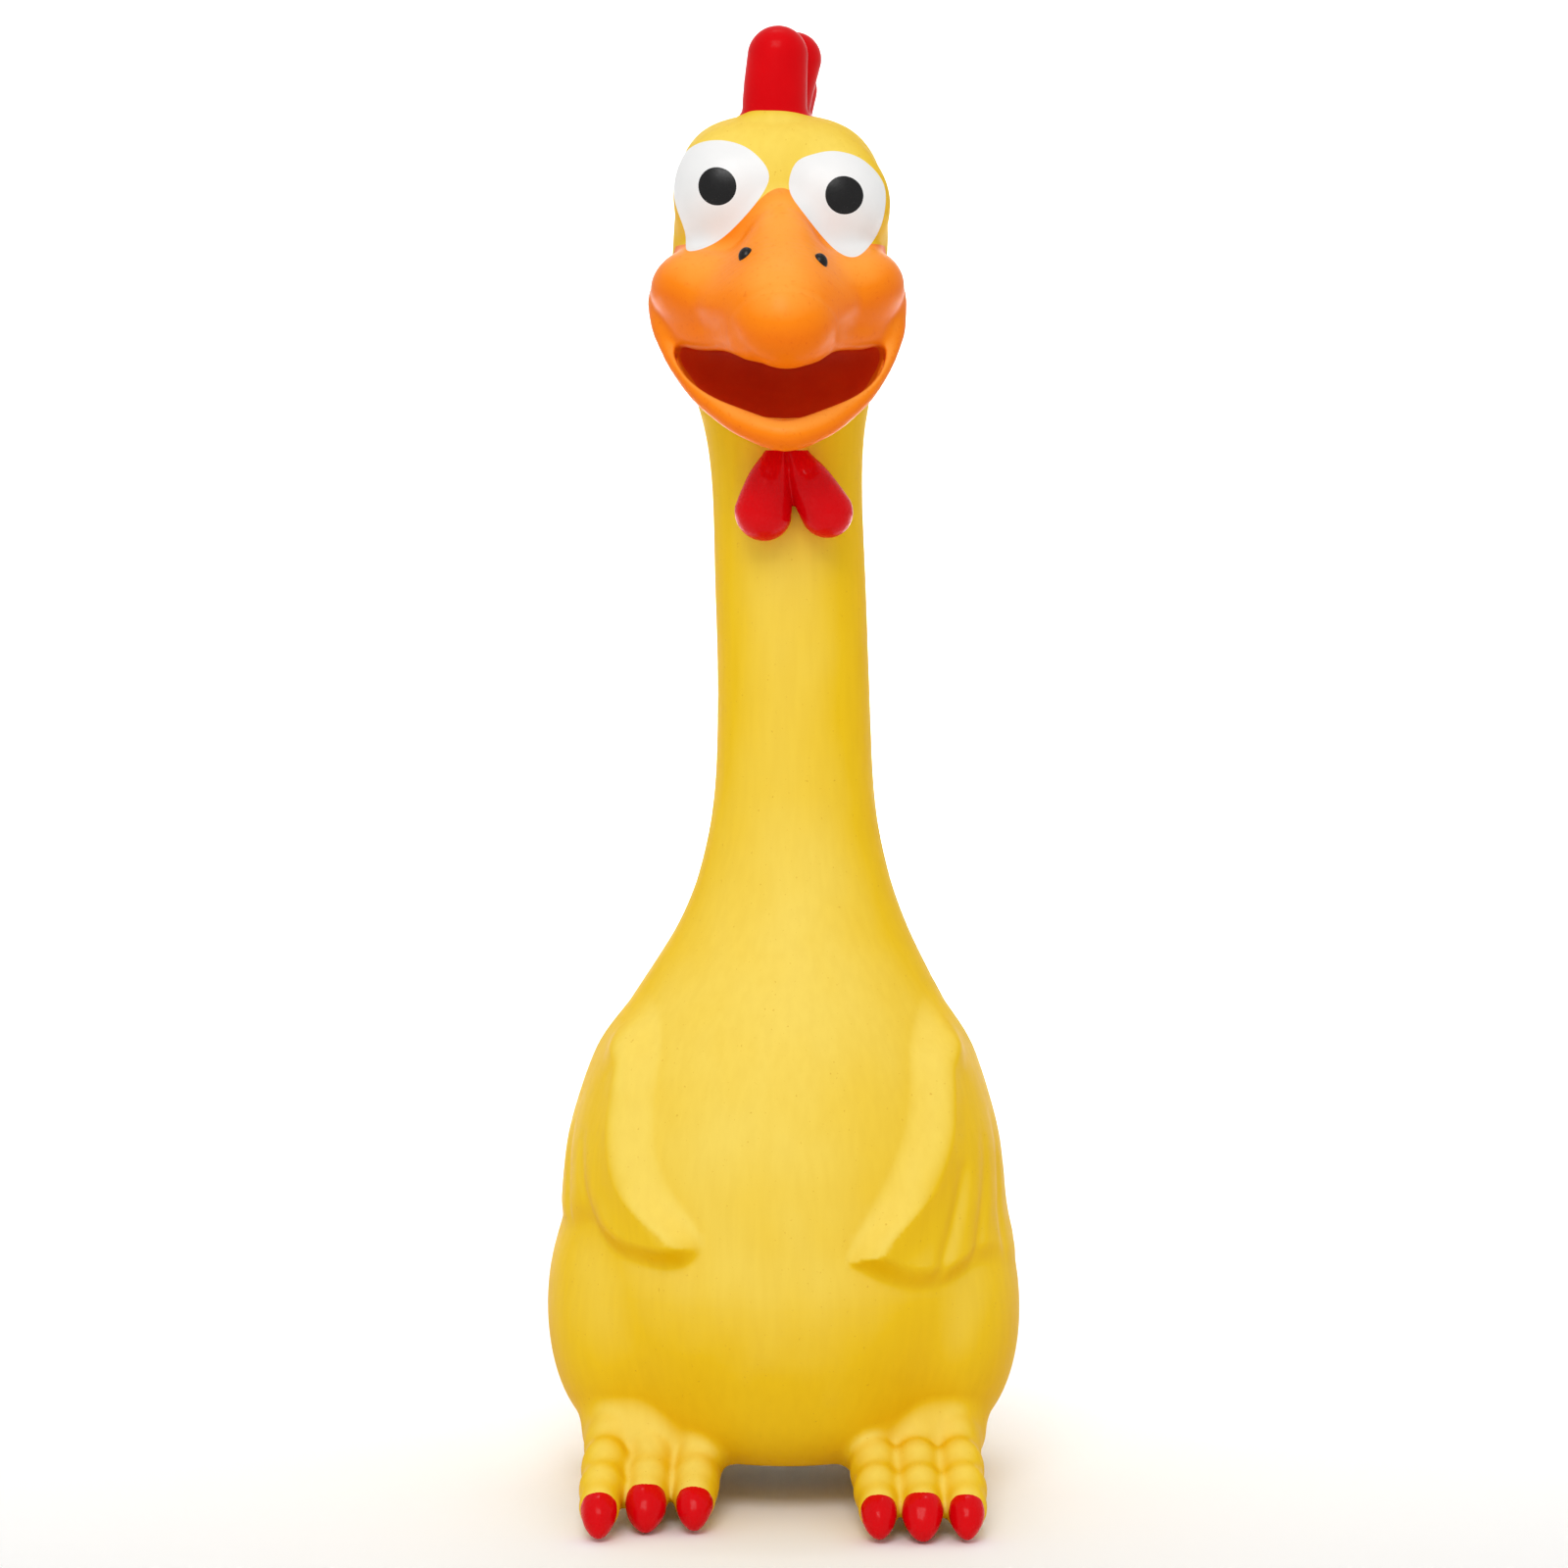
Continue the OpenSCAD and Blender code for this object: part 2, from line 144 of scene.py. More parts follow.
# The round casting: half widths up its height, and how its middle wanders from side to side.
casting = {
    "profile": [  # (radius, height)
        (0, 6.8), (16, 6.8), (22.5, 7.2), (26.8, 9.4), (30.2, 13.6), (33.2, 20.5), (35.7, 28), (36.8, 36),
        (36.2, 44), (35.7, 51), (34.8, 58), (32.9, 65), (30.4, 72), (27, 79), (22.9, 86), (19.3, 92.5),
        (16.6, 99),
        (14.8, 105.5), (13.6, 112), (12.9, 120), (12.5, 134), (12.4, 150), (12.3, 164), (12.9, 173),
        (14.3, 180), (16, 187), (17.2, 194), (17.6, 202), (17.4, 210), (16.6, 216), (14.9, 220.5),
        (11.6, 223.8), (6.5, 225.6), (0, 226)],
    "lean": [  # (height, sideways shift of the middle)
        (0, 0), (60, 0), (80, 0.5), (95, 1.5), (110, 1.7), (135, 1.5), (160, 0.7), (176, 0), (188, -0.7),
        (196, -1.1), (205, -0.6), (213, -0.5), (225, -1.1), (245, -0.9)],
    "unevenness": 0.09, "lumpSize": 26,
}
leanLine = smoothLine(casting["lean"], 8)
profileLine = smoothLine(casting["profile"], 6)
profileLine[:, 0] = np.maximum(profileLine[:, 0], 0)
mirrored = profileLine[::-1] * [-1, 1]
profileTable = outlineTable(np.vstack([profileLine, mirrored]), (0, 0), (60, 250), 0.5)


def straightened(p):  # takes the lean out, so that shapes are placed about x = 0
    q = p.copy()
    q[:, 0] -= np.interp(p[:, 2], leanLine[:, 0], leanLine[:, 1])
    return q


def roundForm(q):
    return lookUp(profileTable, np.hypot(q[:, 0], q[:, 1]), q[:, 2])


# Wings are raised on the belly. Their outlines are drawn as (degrees round from the front, height).
wings = {
    "left": {
        "outline": [(20.4, 45), (22, 48.6), (26.6, 52), (32, 55.8), (36.6, 60.6), (39.6, 66), (41.2, 71),
                    (44.5, 76.6), (53, 81), (68, 83.6), (84, 83), (99, 78), (108, 70), (112, 60), (106, 52),
                    (99, 47.5), (90, 44.5), (80, 43.4), (70, 43.6), (64, 45), (59, 46), (53, 43.8), (46, 42),
                    (38, 41.2), (30, 41), (24, 42.2)],
        "edge": [(24.5, 45.8), (29, 48), (35.3, 51.8), (41.4, 56.7), (46, 63), (48.4, 69.5), (51.5, 74.6),
                 (58, 77)],
        "grooves": [[(53, 42.5), (57, 47), (61, 52.5), (65, 60)], [(70, 42.5), (73, 49.5), (77, 58), (79, 67)],
                    [(86, 44), (88, 53), (90, 62), (90, 70)]],
    },
    "right": {
        "outline": [(15.6, 43), (17, 46.4), (21.4, 51), (26.6, 55.8), (31.8, 60.6), (36.6, 65.6), (39.8, 70.6),
                    (44, 76.4), (53, 80.8), (66, 83.4), (84, 82.8), (99, 77), (108, 69), (111, 58), (107, 48),
                    (99, 40.5), (90, 36.8), (80, 36.2), (70, 37.3), (62, 39), (56, 39.2), (50, 38.2),
                    (42, 37.3), (34, 37.6), (26, 39), (19, 41.4)],
        "edge": [(19.8, 44), (24.4, 47.6), (30.6, 52.6), (36.8, 57.4), (43, 63.2), (47, 69.2), (51, 74.4),
                 (58, 77)],
        "grooves": [[(40, 36.5), (42.5, 42.5), (46.5, 48.5), (51, 56)],
                    [(54, 37), (56, 44), (60, 51.5), (63, 60)], [(69, 36.5), (71, 46), (74, 55.5), (77, 65)],
                    [(86, 36), (86, 48), (88, 59), (89, 68)]],
    },
    "raised": 2.2, "sideRaised": 1.2, "edgeWidth": (4.6, 8), "roll": 1.7, "rollWidth": 4.8,
    "grooveDepth": 0.6, "grooveWidth": 1.6,
    "girth": 36 * math.pi / 180,  # millimetres round the belly for each degree
}


def wingTables(side):
    scale = np.array([wings["girth"], 1])
    spec = wings[side]
    area = ((0, 30), (85, 95), 0.4)
    outline = outlineTable(smoothLine(spec["outline"], 5, closed=True) * scale, *area)
    roll = outlineTable(smoothLine(spec["edge"], 5) * scale, *area, closed=False)
    grooves = [outlineTable(smoothLine(g, 5) * scale, *area, closed=False) for g in spec["grooves"]]
    cuts = grooves[0][0]
    for g in grooves[1:]:
        cuts = np.minimum(cuts, g[0])
    return outline, roll, (cuts, outline[1], outline[2])


wingMaps = {side: wingTables(side) for side in ("left", "right")}


def wingHeight(q):  # how far the wing stands out, and the distance from its outline
    around = np.degrees(np.arctan2(np.abs(q[:, 0]), -q[:, 1])) * wings["girth"]
    height, outside = np.zeros(len(q)), np.full(len(q), 50.0)
    for side, chosen in (("left", q[:, 0] < 0), ("right", q[:, 0] >= 0)):
        u, v = around[chosen], q[chosen, 2]
        outline, roll, cuts = wingMaps[side]
        gap = lookUp(outline, u, v)
        sharp, soft = wings["edgeWidth"]
        rise = ease(-gap / (sharp + (soft - sharp) * ease((v - 46) / 9)))
        thin = ease((u / wings["girth"] - 55) / 25)
        raised = (wings["raised"] + (wings["sideRaised"] - wings["raised"]) * thin) * rise
        raised += wings["roll"] * rise * np.exp(-(lookUp(roll, u, v) / wings["rollWidth"]) ** 2)
        fading = rise * (1 - ease((v - 48) / 20))
        raised -= wings["grooveDepth"] * fading * np.exp(-(lookUp(cuts, u, v) / wings["grooveWidth"]) ** 2)
        height[chosen], outside[chosen] = raised, gap
    return height, outside


# Feet: three toes each, made of knuckles, with a heel behind that keeps the toy from tipping back.
feet = {
    "toes": {  # for each side, (place across, how far it is set back)
        -1: [(-14.3, 4.2), (-22, 4), (-29.3, 0)], 1: [(15, -0.8), (21.9, -1), (28.9, -0.6)]},
    "knuckles": [  # (y, z, half width, half length, half height)
        (-20.5, 9.4, 4.2, 5.4, 6.0), (-27, 7.8, 4.0, 4.6, 5.3), (-32.6, 6.0, 3.8, 4.1, 4.6),
        (-37.2, 4.5, 3.3, 3.5, 3.9)],
    "knuckleFillet": 2.15, "toeFillet": 1.7,
    "instep": ((21.5, -13, 11), (11.8, 12, 9.2)), "instepFillet": 2.2,
    "heel": [(21.5, -8, 6, 8.5), (21, 4, 5.5, 7.6), (20.5, 13, 5, 6.6)], "heelFillet": 2.5,
    "bodyFillet": 2.6, "soleFillet": 0.8, "skin": 1.2, "skinTop": 18.5,
}


def footForm(q):
    best = np.full(len(q), 1e3)
    for side in (-1, 1):
        foot = None
        for x, back in feet["toes"][side]:
            toe = None
            for y, z, width, length, height in feet["knuckles"]:
                reach = np.interp(y, (-37, -20), (1, 0.5))
                bead = ellipsoid(q, (x * (0.93 + 0.07 * reach), y + back * reach, z), (width, length, height))
                toe = bead if toe is None else smoothMin(toe, bead, feet["knuckleFillet"])
            foot = toe if foot is None else smoothMin(foot, toe, feet["toeFillet"])
        (x, y, z), radii = feet["instep"]
        foot = smoothMin(foot, ellipsoid(q, (side * x, y, z), radii), feet["instepFillet"])
        heel = rope(q, [(side * a, b, c, r) for a, b, c, r in feet["heel"]])
        foot = smoothMin(foot, heel, feet["heelFillet"])
        best = np.minimum(best, foot)
    return best


thighs = {"centre": (27.2, -3, 27.5), "radii": (11.8, 20, 19.5), "fillet": 6}
tail = {
    "feathers": [[(0, 30, 40, 7), (0, 37, 48, 5), (0, 40.6, 56.5, 2.9)],
                 [(4.5, 30, 41, 5.6), (6, 36, 48, 3.9), (7, 38.6, 54, 2.4)]],
    "fillet": 3.5, "groove": 0.8, "skin": 1.2, "skinFront": 20,
}


def tailForm(q):
    m = np.abs(q[:, :1])
    q = np.hstack([m, q[:, 1:]])
    middle, outer = (rope(q, f) for f in tail["feathers"])
    return smoothMin(middle, outer, tail["groove"])


def bodyForm(q, d):  # adds wings, thighs, tail and feet to the round casting
    height, _ = wingHeight(q)
    d = d - height
    m = np.hstack([np.abs(q[:, :1]), q[:, 1:]])
    d = smoothMin(d, ellipsoid(m, thighs["centre"], thighs["radii"]), thighs["fillet"])
    back = q[:, 1] > 18
    d[back] = smoothMin(d[back], tailForm(q[back]), tail["fillet"])
    low = q[:, 2] < 32
    d[low] = smoothMin(d[low], footForm(q[low]), feet["bodyFillet"])
    return smoothMax(d, -q[:, 2], feet["soleFillet"])


# The head: bulging eyes, a broad upper beak, a lower beak that wraps up round its corners, and the mouth.
head = {
    "eyeBulges": [((-8.8, -8.3, 212.6), (8.5, 8.6, 9.4)), ((9.2, -8.3, 211.3), (8.4, 8.6, 9.4))],
    "bulgeFillet": 3, "upperFillet": 2.6, "lowerFillet": 1.3, "throatTop": 187,
}
upperBeak = {
    "ridge": [(0, -12, 210, 3.6), (0, -18.5, 206, 4.2), (0.2, -24.8, 200.2, 4.9), (0.6, -29.8, 195.4, 5.8),
              (0.9, -33.6, 191.3, 6.7)],
    "dome": ((0, -12.5, 194.2), (16.3, 20, 7)),
    "cheek": ((13.4, -11.4, 197.6), (6.3, 8, 5.9)),
    "rim": [(16.9, -11.5, 191, 1.6), (13, -18, 189.5, 1.7), (8.6, -24.5, 189.3, 1.9), (5, -30.5, 189, 2.8)],
    "hollow": [(17, -8.5, 194.4, 0), (16.2, -16.5, 193.6, 0), (13.4, -23, 193.6, 0)],
    "hollowDepth": 0.9, "hollowWidth": 3.6,
    "domeFillet": 9.5, "rimFillet": 2.6, "paint": 2.6, "paintTop": 213.2, "paintBack": -3.2,
}
lowerBeak = {
    "lip": [(18.4, -5.5, 198.6, 0.9), (19.2, -8.5, 195, 1.5), (17.9, -13.6, 188.2, 1.5), (13.9, -19.8, 182, 1.8),
            (9.8, -24, 178.2, 2), (5.6, -27.3, 175.5, 2.2), (0, -29, 173.9, 2.5), (-5.6, -27.3, 175.5, 2.2)],
    "jowl": [(15, -5.5, 196, 4), (14.6, -8.5, 190, 3.9), (12, -13, 184.6, 3.9), (8.3, -17.5, 180.6, 4),
             (0, -20.5, 177.6, 4.6), (-8.3, -17.5, 180.6, 4)],
    "floor": ((0, -13.5, 180.4), (10.5, 9, 4.6)),
    "web": [(14.2, -4.5, 191.5, 3.6), (12.8, -8, 185.8, 3.6), (10, -11.5, 181.5, 3.6), (0, -15, 179, 3.8)],
    "lipFillet": 1.5, "webFillet": 1.6, "paint": 0.9, "paintBack": -3.4,
}
mouth = {
    "centre": (0, -16, 188.5), "radii": (17, 24, 12.5), "back": 14.5, "roof": 6, "lip": 0.7, "split": 188,
    "paintIn": 1,
}


def mirroredX(q):
    return np.hstack([np.abs(q[:, :1]), q[:, 1:]])


def upperForm(q):
    m = mirroredX(q)
    cheek, dome = ellipsoid(m, *upperBeak["cheek"]), ellipsoid(m, *upperBeak["dome"])
    form = smoothMin(cheek, dome, upperBeak["domeFillet"])
    form = smoothMin(form, rope(q, upperBeak["ridge"], 5), upperBeak["domeFillet"])
    away = rope(m, upperBeak["hollow"])
    form += upperBeak["hollowDepth"] * np.exp(-(away / upperBeak["hollowWidth"]) ** 2)
    return smoothMin(form, rope(m, upperBeak["rim"]), upperBeak["rimFillet"])


def lowerForm(q):
    m = mirroredX(q)
    jowl = smoothMin(rope(m, lowerBeak["jowl"], 4), ellipsoid(q, *lowerBeak["floor"]), lowerBeak["lipFillet"])
    return smoothMin(rope(m, lowerBeak["lip"], 4), jowl, lowerBeak["lipFillet"])


def mouthForm(q):  # a bowl, deeper in front than behind and shallow above its widest level
    away = q - np.array(mouth["centre"])
    away[:, 1] *= np.where(away[:, 1] > 0, mouth["radii"][1] / mouth["back"], 1)
    away[:, 2] *= np.where(away[:, 2] > 0, mouth["radii"][2] / mouth["roof"], 1)
    return ellipsoid(away, (0, 0, 0), mouth["radii"])


comb = {
    "lobes": [[(-0.4, -5.2, 220, 5.3), (-0.4, -5.6, 228, 5.2), (0, -5.4, 235, 4.9)],
              [(0.2, 2.2, 220, 4.8), (1, 2.6, 228, 4.5), (2.7, 2.8, 235.2, 4.5)],
              [(0.4, 9.4, 217, 4.5), (1.2, 10.8, 225, 4.2), (2.5, 12, 231, 4.1)]],
    "groove": 1, "fillet": 1.6, "paintHeight": 225.8,
}


def combForm(q):
    form = None
    for lobe in comb["lobes"]:
        one = rope(q, lobe)
        form = one if form is None else smoothMin(form, one, comb["groove"])
    return form


wattles = {
    "drops": [[(-1, -14, 172.6, 1.3), (-1.8, -14.6, 169.6, 2.3), (-2.8, -15, 166, 3.7), (-4, -14.7, 161.6, 4.6)],
              [(1.3, -14, 172.6, 1.3), (2.3, -14.6, 169.6, 2.3), (3.9, -15, 166, 3.7), (6.2, -14.7, 161.8, 4.3)]],
    "groove": 0.5, "fillet": 1, "paint": 0.35, "paintTop": 171.6,
}


def wattleForm(q):
    left, right = (rope(q, drop, 6) for drop in wattles["drops"])
    return smoothMin(left, right, wattles["groove"])


def outerHead(q, hollow=False):  # the head, with its mouth hollowed out under the upper beak or left whole
    d = roundForm(q)
    for centre, radii in head["eyeBulges"]:
        d = smoothMin(d, ellipsoid(q, centre, radii), head["bulgeFillet"])
    d = smoothMin(d, rope(mirroredX(q), lowerBeak["web"]), lowerBeak["webFillet"])
    d = smoothMin(d, lowerForm(q), head["lowerFillet"])
    if hollow:
        d = smoothMax(d, -mouthForm(q), mouth["lip"])
    d = smoothMin(d, upperForm(q), head["upperFillet"])
    high, low = q[:, 2] > 214, q[:, 2] < 178
    d[high] = smoothMin(d[high], combForm(q[high]), comb["fillet"])
    d[low] = smoothMin(d[low], wattleForm(q[low]), wattles["fillet"])
    return d


def castForm(p):  # the whole casting
    q = straightened(p)
    d = roundForm(q)
    low, high = q[:, 2] < 97, q[:, 2] > 154
    if low.any():
        d[low] = bodyForm(q[low], d[low])
    if high.any():
        d[high] = outerHead(q[high], hollow=True)
    return d - casting["unevenness"] * wobble(p, casting["lumpSize"], 3)


def chunked(form, points, size=300000):
    return np.concatenate([form(points[i:i + size]) for i in range(0, len(points), size)])


def slopes(form, points, reach=0.12):  # the direction in which the distance grows
    out = np.zeros_like(points)
    for axis in range(3):
        step = np.zeros(3)
        step[axis] = reach
        out[:, axis] = chunked(form, points + step) - chunked(form, points - step)
    return out / np.maximum(np.linalg.norm(out, axis=1), 1e-9)[:, None]


def skinOf(form, low, high, cell, rounds=3):  # the surface where the distance is nought, as quads
    low, high = np.array(low, float), np.array(high, float)
    block = 6
    blocks = np.ceil((high - low) / cell / block).astype(int)
    centres = (np.indices(blocks).reshape(3, -1).T + 0.5) * block * cell + low
    rough = chunked(form, centres)
    grid = np.empty(blocks * block, np.float32)
    tiles = grid.reshape(blocks[0], block, blocks[1], block, blocks[2], block).transpose(0, 2, 4, 1, 3, 5)
    tiles[:] = rough.reshape(blocks)[..., None, None, None]
    near = np.argwhere((np.abs(rough) < block * cell * 1.25).reshape(blocks))
    inner = np.indices((block, block, block)).reshape(3, -1).T
    spots = ((near[:, None] * block + inner) * cell + low).reshape(-1, 3)
    tiles[near[:, 0], near[:, 1], near[:, 2]] = chunked(form, spots).reshape(-1, block, block, block)
    inside = grid < 0
    corners = np.indices((2, 2, 2)).reshape(3, -1).T
    size = np.array(grid.shape) - 1
    full = sum(inside[i:size[0] + i, j:size[1] + j, k:size[2] + k].astype(np.uint8) for i, j, k in corners)
    mixed = (full > 0) & (full < 8)
    cells = np.argwhere(mixed)
    number = np.full(mixed.shape, -1, np.int64)
    number[mixed] = np.arange(len(cells))
    value = np.stack([grid[tuple((cells + c).T)] for c in corners], 1).astype(float)
    total, hits = np.zeros((len(cells), 3)), np.zeros(len(cells))
    for a in range(8):
        for b in range(a + 1, 8):
            if np.abs(corners[a] - corners[b]).sum() != 1:
                continue
            crosses = (value[:, a] < 0) != (value[:, b] < 0)
            t = value[crosses, a] / (value[crosses, a] - value[crosses, b])
            total[crosses] += corners[a] + t[:, None] * (corners[b] - corners[a])
            hits[crosses] += 1
    points = (cells + total / hits[:, None]) * cell + low
    quads = []
    for axis in range(3):
        u, v = (axis + 1) % 3, (axis + 2) % 3
        here = np.moveaxis(inside, (axis, u, v), (0, 1, 2))
        lower, upper = here[:-1, 1:-1, 1:-1], here[1:, 1:-1, 1:-1]
        spot = np.argwhere(lower != upper) + [0, 1, 1]
        outward = lower[lower != upper]
        names = np.moveaxis(number, (axis, u, v), (0, 1, 2))
        ways = ((-1, -1), (0, -1), (0, 0), (-1, 0))
        ring = [names[spot[:, 0], spot[:, 1] + i, spot[:, 2] + j] for i, j in ways]
        ring = np.stack(ring, 1)
        ring[~outward] = ring[~outward][:, ::-1]
        quads.append(ring)
    quads = np.vstack(quads)
    edges = np.vstack([quads[:, [i, (i + 1) % 4]] for i in range(4)])
    for _ in range(rounds):
        mean, uses = np.zeros_like(points), np.zeros(len(points))
        for a, b in (edges.T, edges.T[::-1]):
            for axis in range(3):
                mean[:, axis] += np.bincount(a, points[b, axis], len(points))
            uses += np.bincount(a, minlength=len(points))
        points = 0.5 * points + 0.5 * mean / uses[:, None]
        away = np.clip(chunked(form, points), -cell, cell)
        points -= slopes(form, points) * away[:, None]
    return points, quads


def thickened(points, normals, tris, wall):  # a skin with an inside, closed at its rims
    count = len(points)
    edges = np.vstack([tris[:, [i, (i + 1) % 3]] for i in range(3)])
    _, first, uses = np.unique(np.sort(edges, axis=1), axis=0, return_index=True, return_counts=True)
    a, b = edges[first[uses == 1]].T
    rim = np.vstack([np.stack([b, a, a + count], 1), np.stack([b, a + count, b + count], 1)])
    faces = np.vstack([tris, tris[:, ::-1] + count, rim])
    return np.vstack([points, points - normals * wall]), np.vstack([normals, -normals]), faces


def makePiece(name, points, faces, material, normals=None):
    mesh = bpy.data.meshes.new(name)
    mesh.from_pydata((points * mm).tolist(), [], faces.tolist())
    mesh.polygons.foreach_set("use_smooth", [True] * len(mesh.polygons))
    if normals is not None:
        mesh.normals_split_custom_set_from_vertices(normals.tolist())
    mesh.materials.append(material)
    piece = bpy.data.objects.new(name, mesh)
    bpy.context.scene.collection.objects.link(piece)
    return piece


def cutAlong(points, tris, rules):  # moves points onto the lines between parts, so that edges run along them
    held = np.zeros(len(points), bool)
    edges = np.vstack([tris[:, [0, 1]], tris[:, [1, 2]], tris[:, [2, 0]]])
    edges = np.unique(np.sort(edges, axis=1), axis=0)
    values = []
    for rule in rules:
        value = rule(points)
        a, b = edges[(value[edges[:, 0]] < 0) != (value[edges[:, 1]] < 0)].T
        first = np.where(held[a] != held[b], held[b], np.abs(value[a]) < np.abs(value[b]))
        near, far = np.where(first, a, b), np.where(first, b, a)
        free = ~held[near]
        near, far = near[free], far[free]
        t = value[near] / (value[near] - value[far])
        target = points[near] + t[:, None] * (points[far] - points[near])
        uses = np.bincount(near, minlength=len(points))
        moved = uses > 0
        for axis in range(3):
            total = np.bincount(near, target[:, axis], len(points))
            points[moved, axis] = total[moved] / uses[moved]
        held |= moved
        value[moved] = 0
        values.append(value)
    sides = []
    middle = points[tris].mean(axis=1)
    for rule, value in zip(rules, values):
        side = value[tris].sum(axis=1)
        flat = side == 0
        side[flat] = rule(middle[flat])
        sides.append(side < 0)
    return sides


def splitQuads(points, quads):  # two triangles each, along the shorter diagonal
    a, b, c, d = (points[quads[:, i]] for i in range(4))
    short = np.linalg.norm(a - c, axis=1) < np.linalg.norm(b - d, axis=1)
    one = np.where(short[:, None], quads[:, [0, 1, 2]], quads[:, [0, 1, 3]])
    two = np.where(short[:, None], quads[:, [0, 2, 3]], quads[:, [1, 2, 3]])
    return np.vstack([one, two])


# Finishes.
def tint(code):  # a colour as it looks, to the linear one that a shader takes
    parts = [int(code[i:i + 2], 16) / 255 for i in (1, 3, 5)]
    return [c / 12.92 if c <= 0.04045 else ((c + 0.055) / 1.055) ** 2.4 for c in parts] + [1]


def addNode(tree, kind, wires=None, **settings):
    node = tree.nodes.new(kind)
    for name, value in settings.items():
        setattr(node, name, value)
    for name, value in (wires or {}).items():
        if isinstance(value, bpy.types.NodeSocket):
            tree.links.new(value, node.inputs[name])
        else:
            node.inputs[name].default_value = value
    return node


def mathNode(tree, operation, a, b=0.0):
    return addNode(tree, "ShaderNodeMath", {0: a, 1: b}, operation=operation).outputs[0]


def newFinish(name, **constants):
    finish = bpy.data.materials.new(name)
    finish.use_nodes = True
    shader = finish.node_tree.nodes["Principled BSDF"]
    for label, value in constants.items():
        shader.inputs[label.replace("_", " ")].default_value = value
    return finish, finish.node_tree, shader


def grain(tree, size, detail=3, stretch=1.0, seed=0.0):  # noise with lumps of that many millimetres
    where = addNode(tree, "ShaderNodeTexCoord").outputs["Object"]
    scale = 1 / (size * mm)
    place = addNode(tree, "ShaderNodeMapping", {"Vector": where, "Scale": (scale, scale, scale / stretch),
                                                "Location": (seed, seed * 1.7, -seed)})
    return addNode(tree, "ShaderNodeTexNoise", {"Vector": place.outputs[0], "Scale": 1.0, "Detail": detail})


def shadesOf(tree, amount, low, high, codes):  # a ramp between colours, over part of a noise's range
    ramp = addNode(tree, "ShaderNodeValToRGB", {"Fac": amount})
    for i, code in enumerate(codes):
        at = low + (high - low) * i / (len(codes) - 1)
        spot = ramp.color_ramp.elements[i] if i < 2 else ramp.color_ramp.elements.new(at)
        spot.position = at
        spot.color = tint(code)
    return ramp.outputs["Color"]


def mixed(tree, kind, amount, a, b):
    mix = addNode(tree, "ShaderNodeMix", data_type="RGBA", blend_type=kind)
    for socket, value in zip((mix.inputs[0], mix.inputs[6], mix.inputs[7]), (amount, a, b)):
        if isinstance(value, bpy.types.NodeSocket):
            tree.links.new(value, socket)
        else:
            socket.default_value = value
    return mix.outputs[2]


def roughened(tree, shader, noise, strength, depth, low, high):  # bump and a change of gloss from a noise
    bump = addNode(tree, "ShaderNodeBump", {"Height": noise, "Strength": strength, "Distance": depth * mm})
    tree.links.new(bump.outputs["Normal"], shader.inputs["Normal"])
    gloss = addNode(tree, "ShaderNodeMapRange", {"Value": noise, "From Min": 0.3, "From Max": 0.7,
                                                 "To Min": low, "To Max": high})
    tree.links.new(gloss.outputs["Result"], shader.inputs["Roughness"])


def turnedTo(tree, way, noise, unevenness):  # how far a surface faces one way, made uneven by a noise; used to paint light and shade by facing
    normal = addNode(tree, "ShaderNodeTexCoord").outputs["Normal"]
    facing = addNode(tree, "ShaderNodeVectorMath", {0: normal, 1: way}, operation="DOT_PRODUCT").outputs["Value"]
    uneven = mathNode(tree, "MULTIPLY", mathNode(tree, "SUBTRACT", noise, 0.5), unevenness)
    return mathNode(tree, "ADD", facing, uneven)


# Slush-moulded natural latex, dip-dyed yellow. Light and shade are painted into its colour: paler yellow where
# it faces the front and above (painted highlight), deeper in the folds and underneath (painted shade).
# Satin to matt, with faint streaks down the mould and a few dark specks.
def yellowLatex():
    finish, tree, shader = newFinish("yellow latex", Specular_IOR_Level=0.03, Coat_Weight=0.04,
                                     Coat_Roughness=0.4)
    # painted light and shade: paler facing the front and above, deeper facing away
    paintedLightAndShade = turnedTo(tree, (-0.08, -0.8, 0.6), grain(tree, 16, 2, stretch=1.5, seed=9).outputs["Fac"], 0.35)
    base = shadesOf(tree, paintedLightAndShade, 0.1, 1.0, ["#e7b402", "#edc21c", "#f2d45e"])
    streaks = grain(tree, 1.3, 2, stretch=9, seed=4).outputs["Fac"]
    streaked = mixed(tree, "MULTIPLY", 0.3, base, shadesOf(tree, streaks, 0.35, 0.65, ["#f6f1e6", "#ffffff"]))
    specks = grain(tree, 0.55, 1, seed=21).outputs["Fac"]
    dots = shadesOf(tree, specks, 0.2, 0.27, ["#d9b872", "#ffffff"])
    tree.links.new(mixed(tree, "MULTIPLY", 0.5, streaked, dots), shader.inputs["Base Color"])
    roughened(tree, shader, grain(tree, 0.9, 4, stretch=3, seed=2).outputs["Fac"], 0.1, 0.1, 0.44, 0.54)
    return finish


# Satin latex paint, brushed on by hand: a soft sheen, cloudy where it is thin, and lighter where it faces up, as
# a painted highlight.
def orangePaint():
    finish, tree, shader = newFinish("orange paint", Specular_IOR_Level=0.03, Coat_Weight=0.1,
                                     Coat_Roughness=0.3)
    # painted highlight: paler where the paint faces up and forward, made uneven by a noise
    paintedHighlight = turnedTo(tree, (0, -0.6, 0.8), grain(tree, 11, 3, seed=5).outputs["Fac"], 0.4)
    base = shadesOf(tree, paintedHighlight, 0.2, 1.0, ["#f2760a", "#f8840f", "#fca03c"])
    dots = shadesOf(tree, grain(tree, 0.7, 2, seed=13).outputs["Fac"], 0.25, 0.4, ["#f3d9b4", "#ffffff"])
    tree.links.new(mixed(tree, "MULTIPLY", 0.6, base, dots), shader.inputs["Base Color"])
    roughened(tree, shader, grain(tree, 0.6, 3, seed=8).outputs["Fac"], 0.14, 0.1, 0.3, 0.38)
    return finish


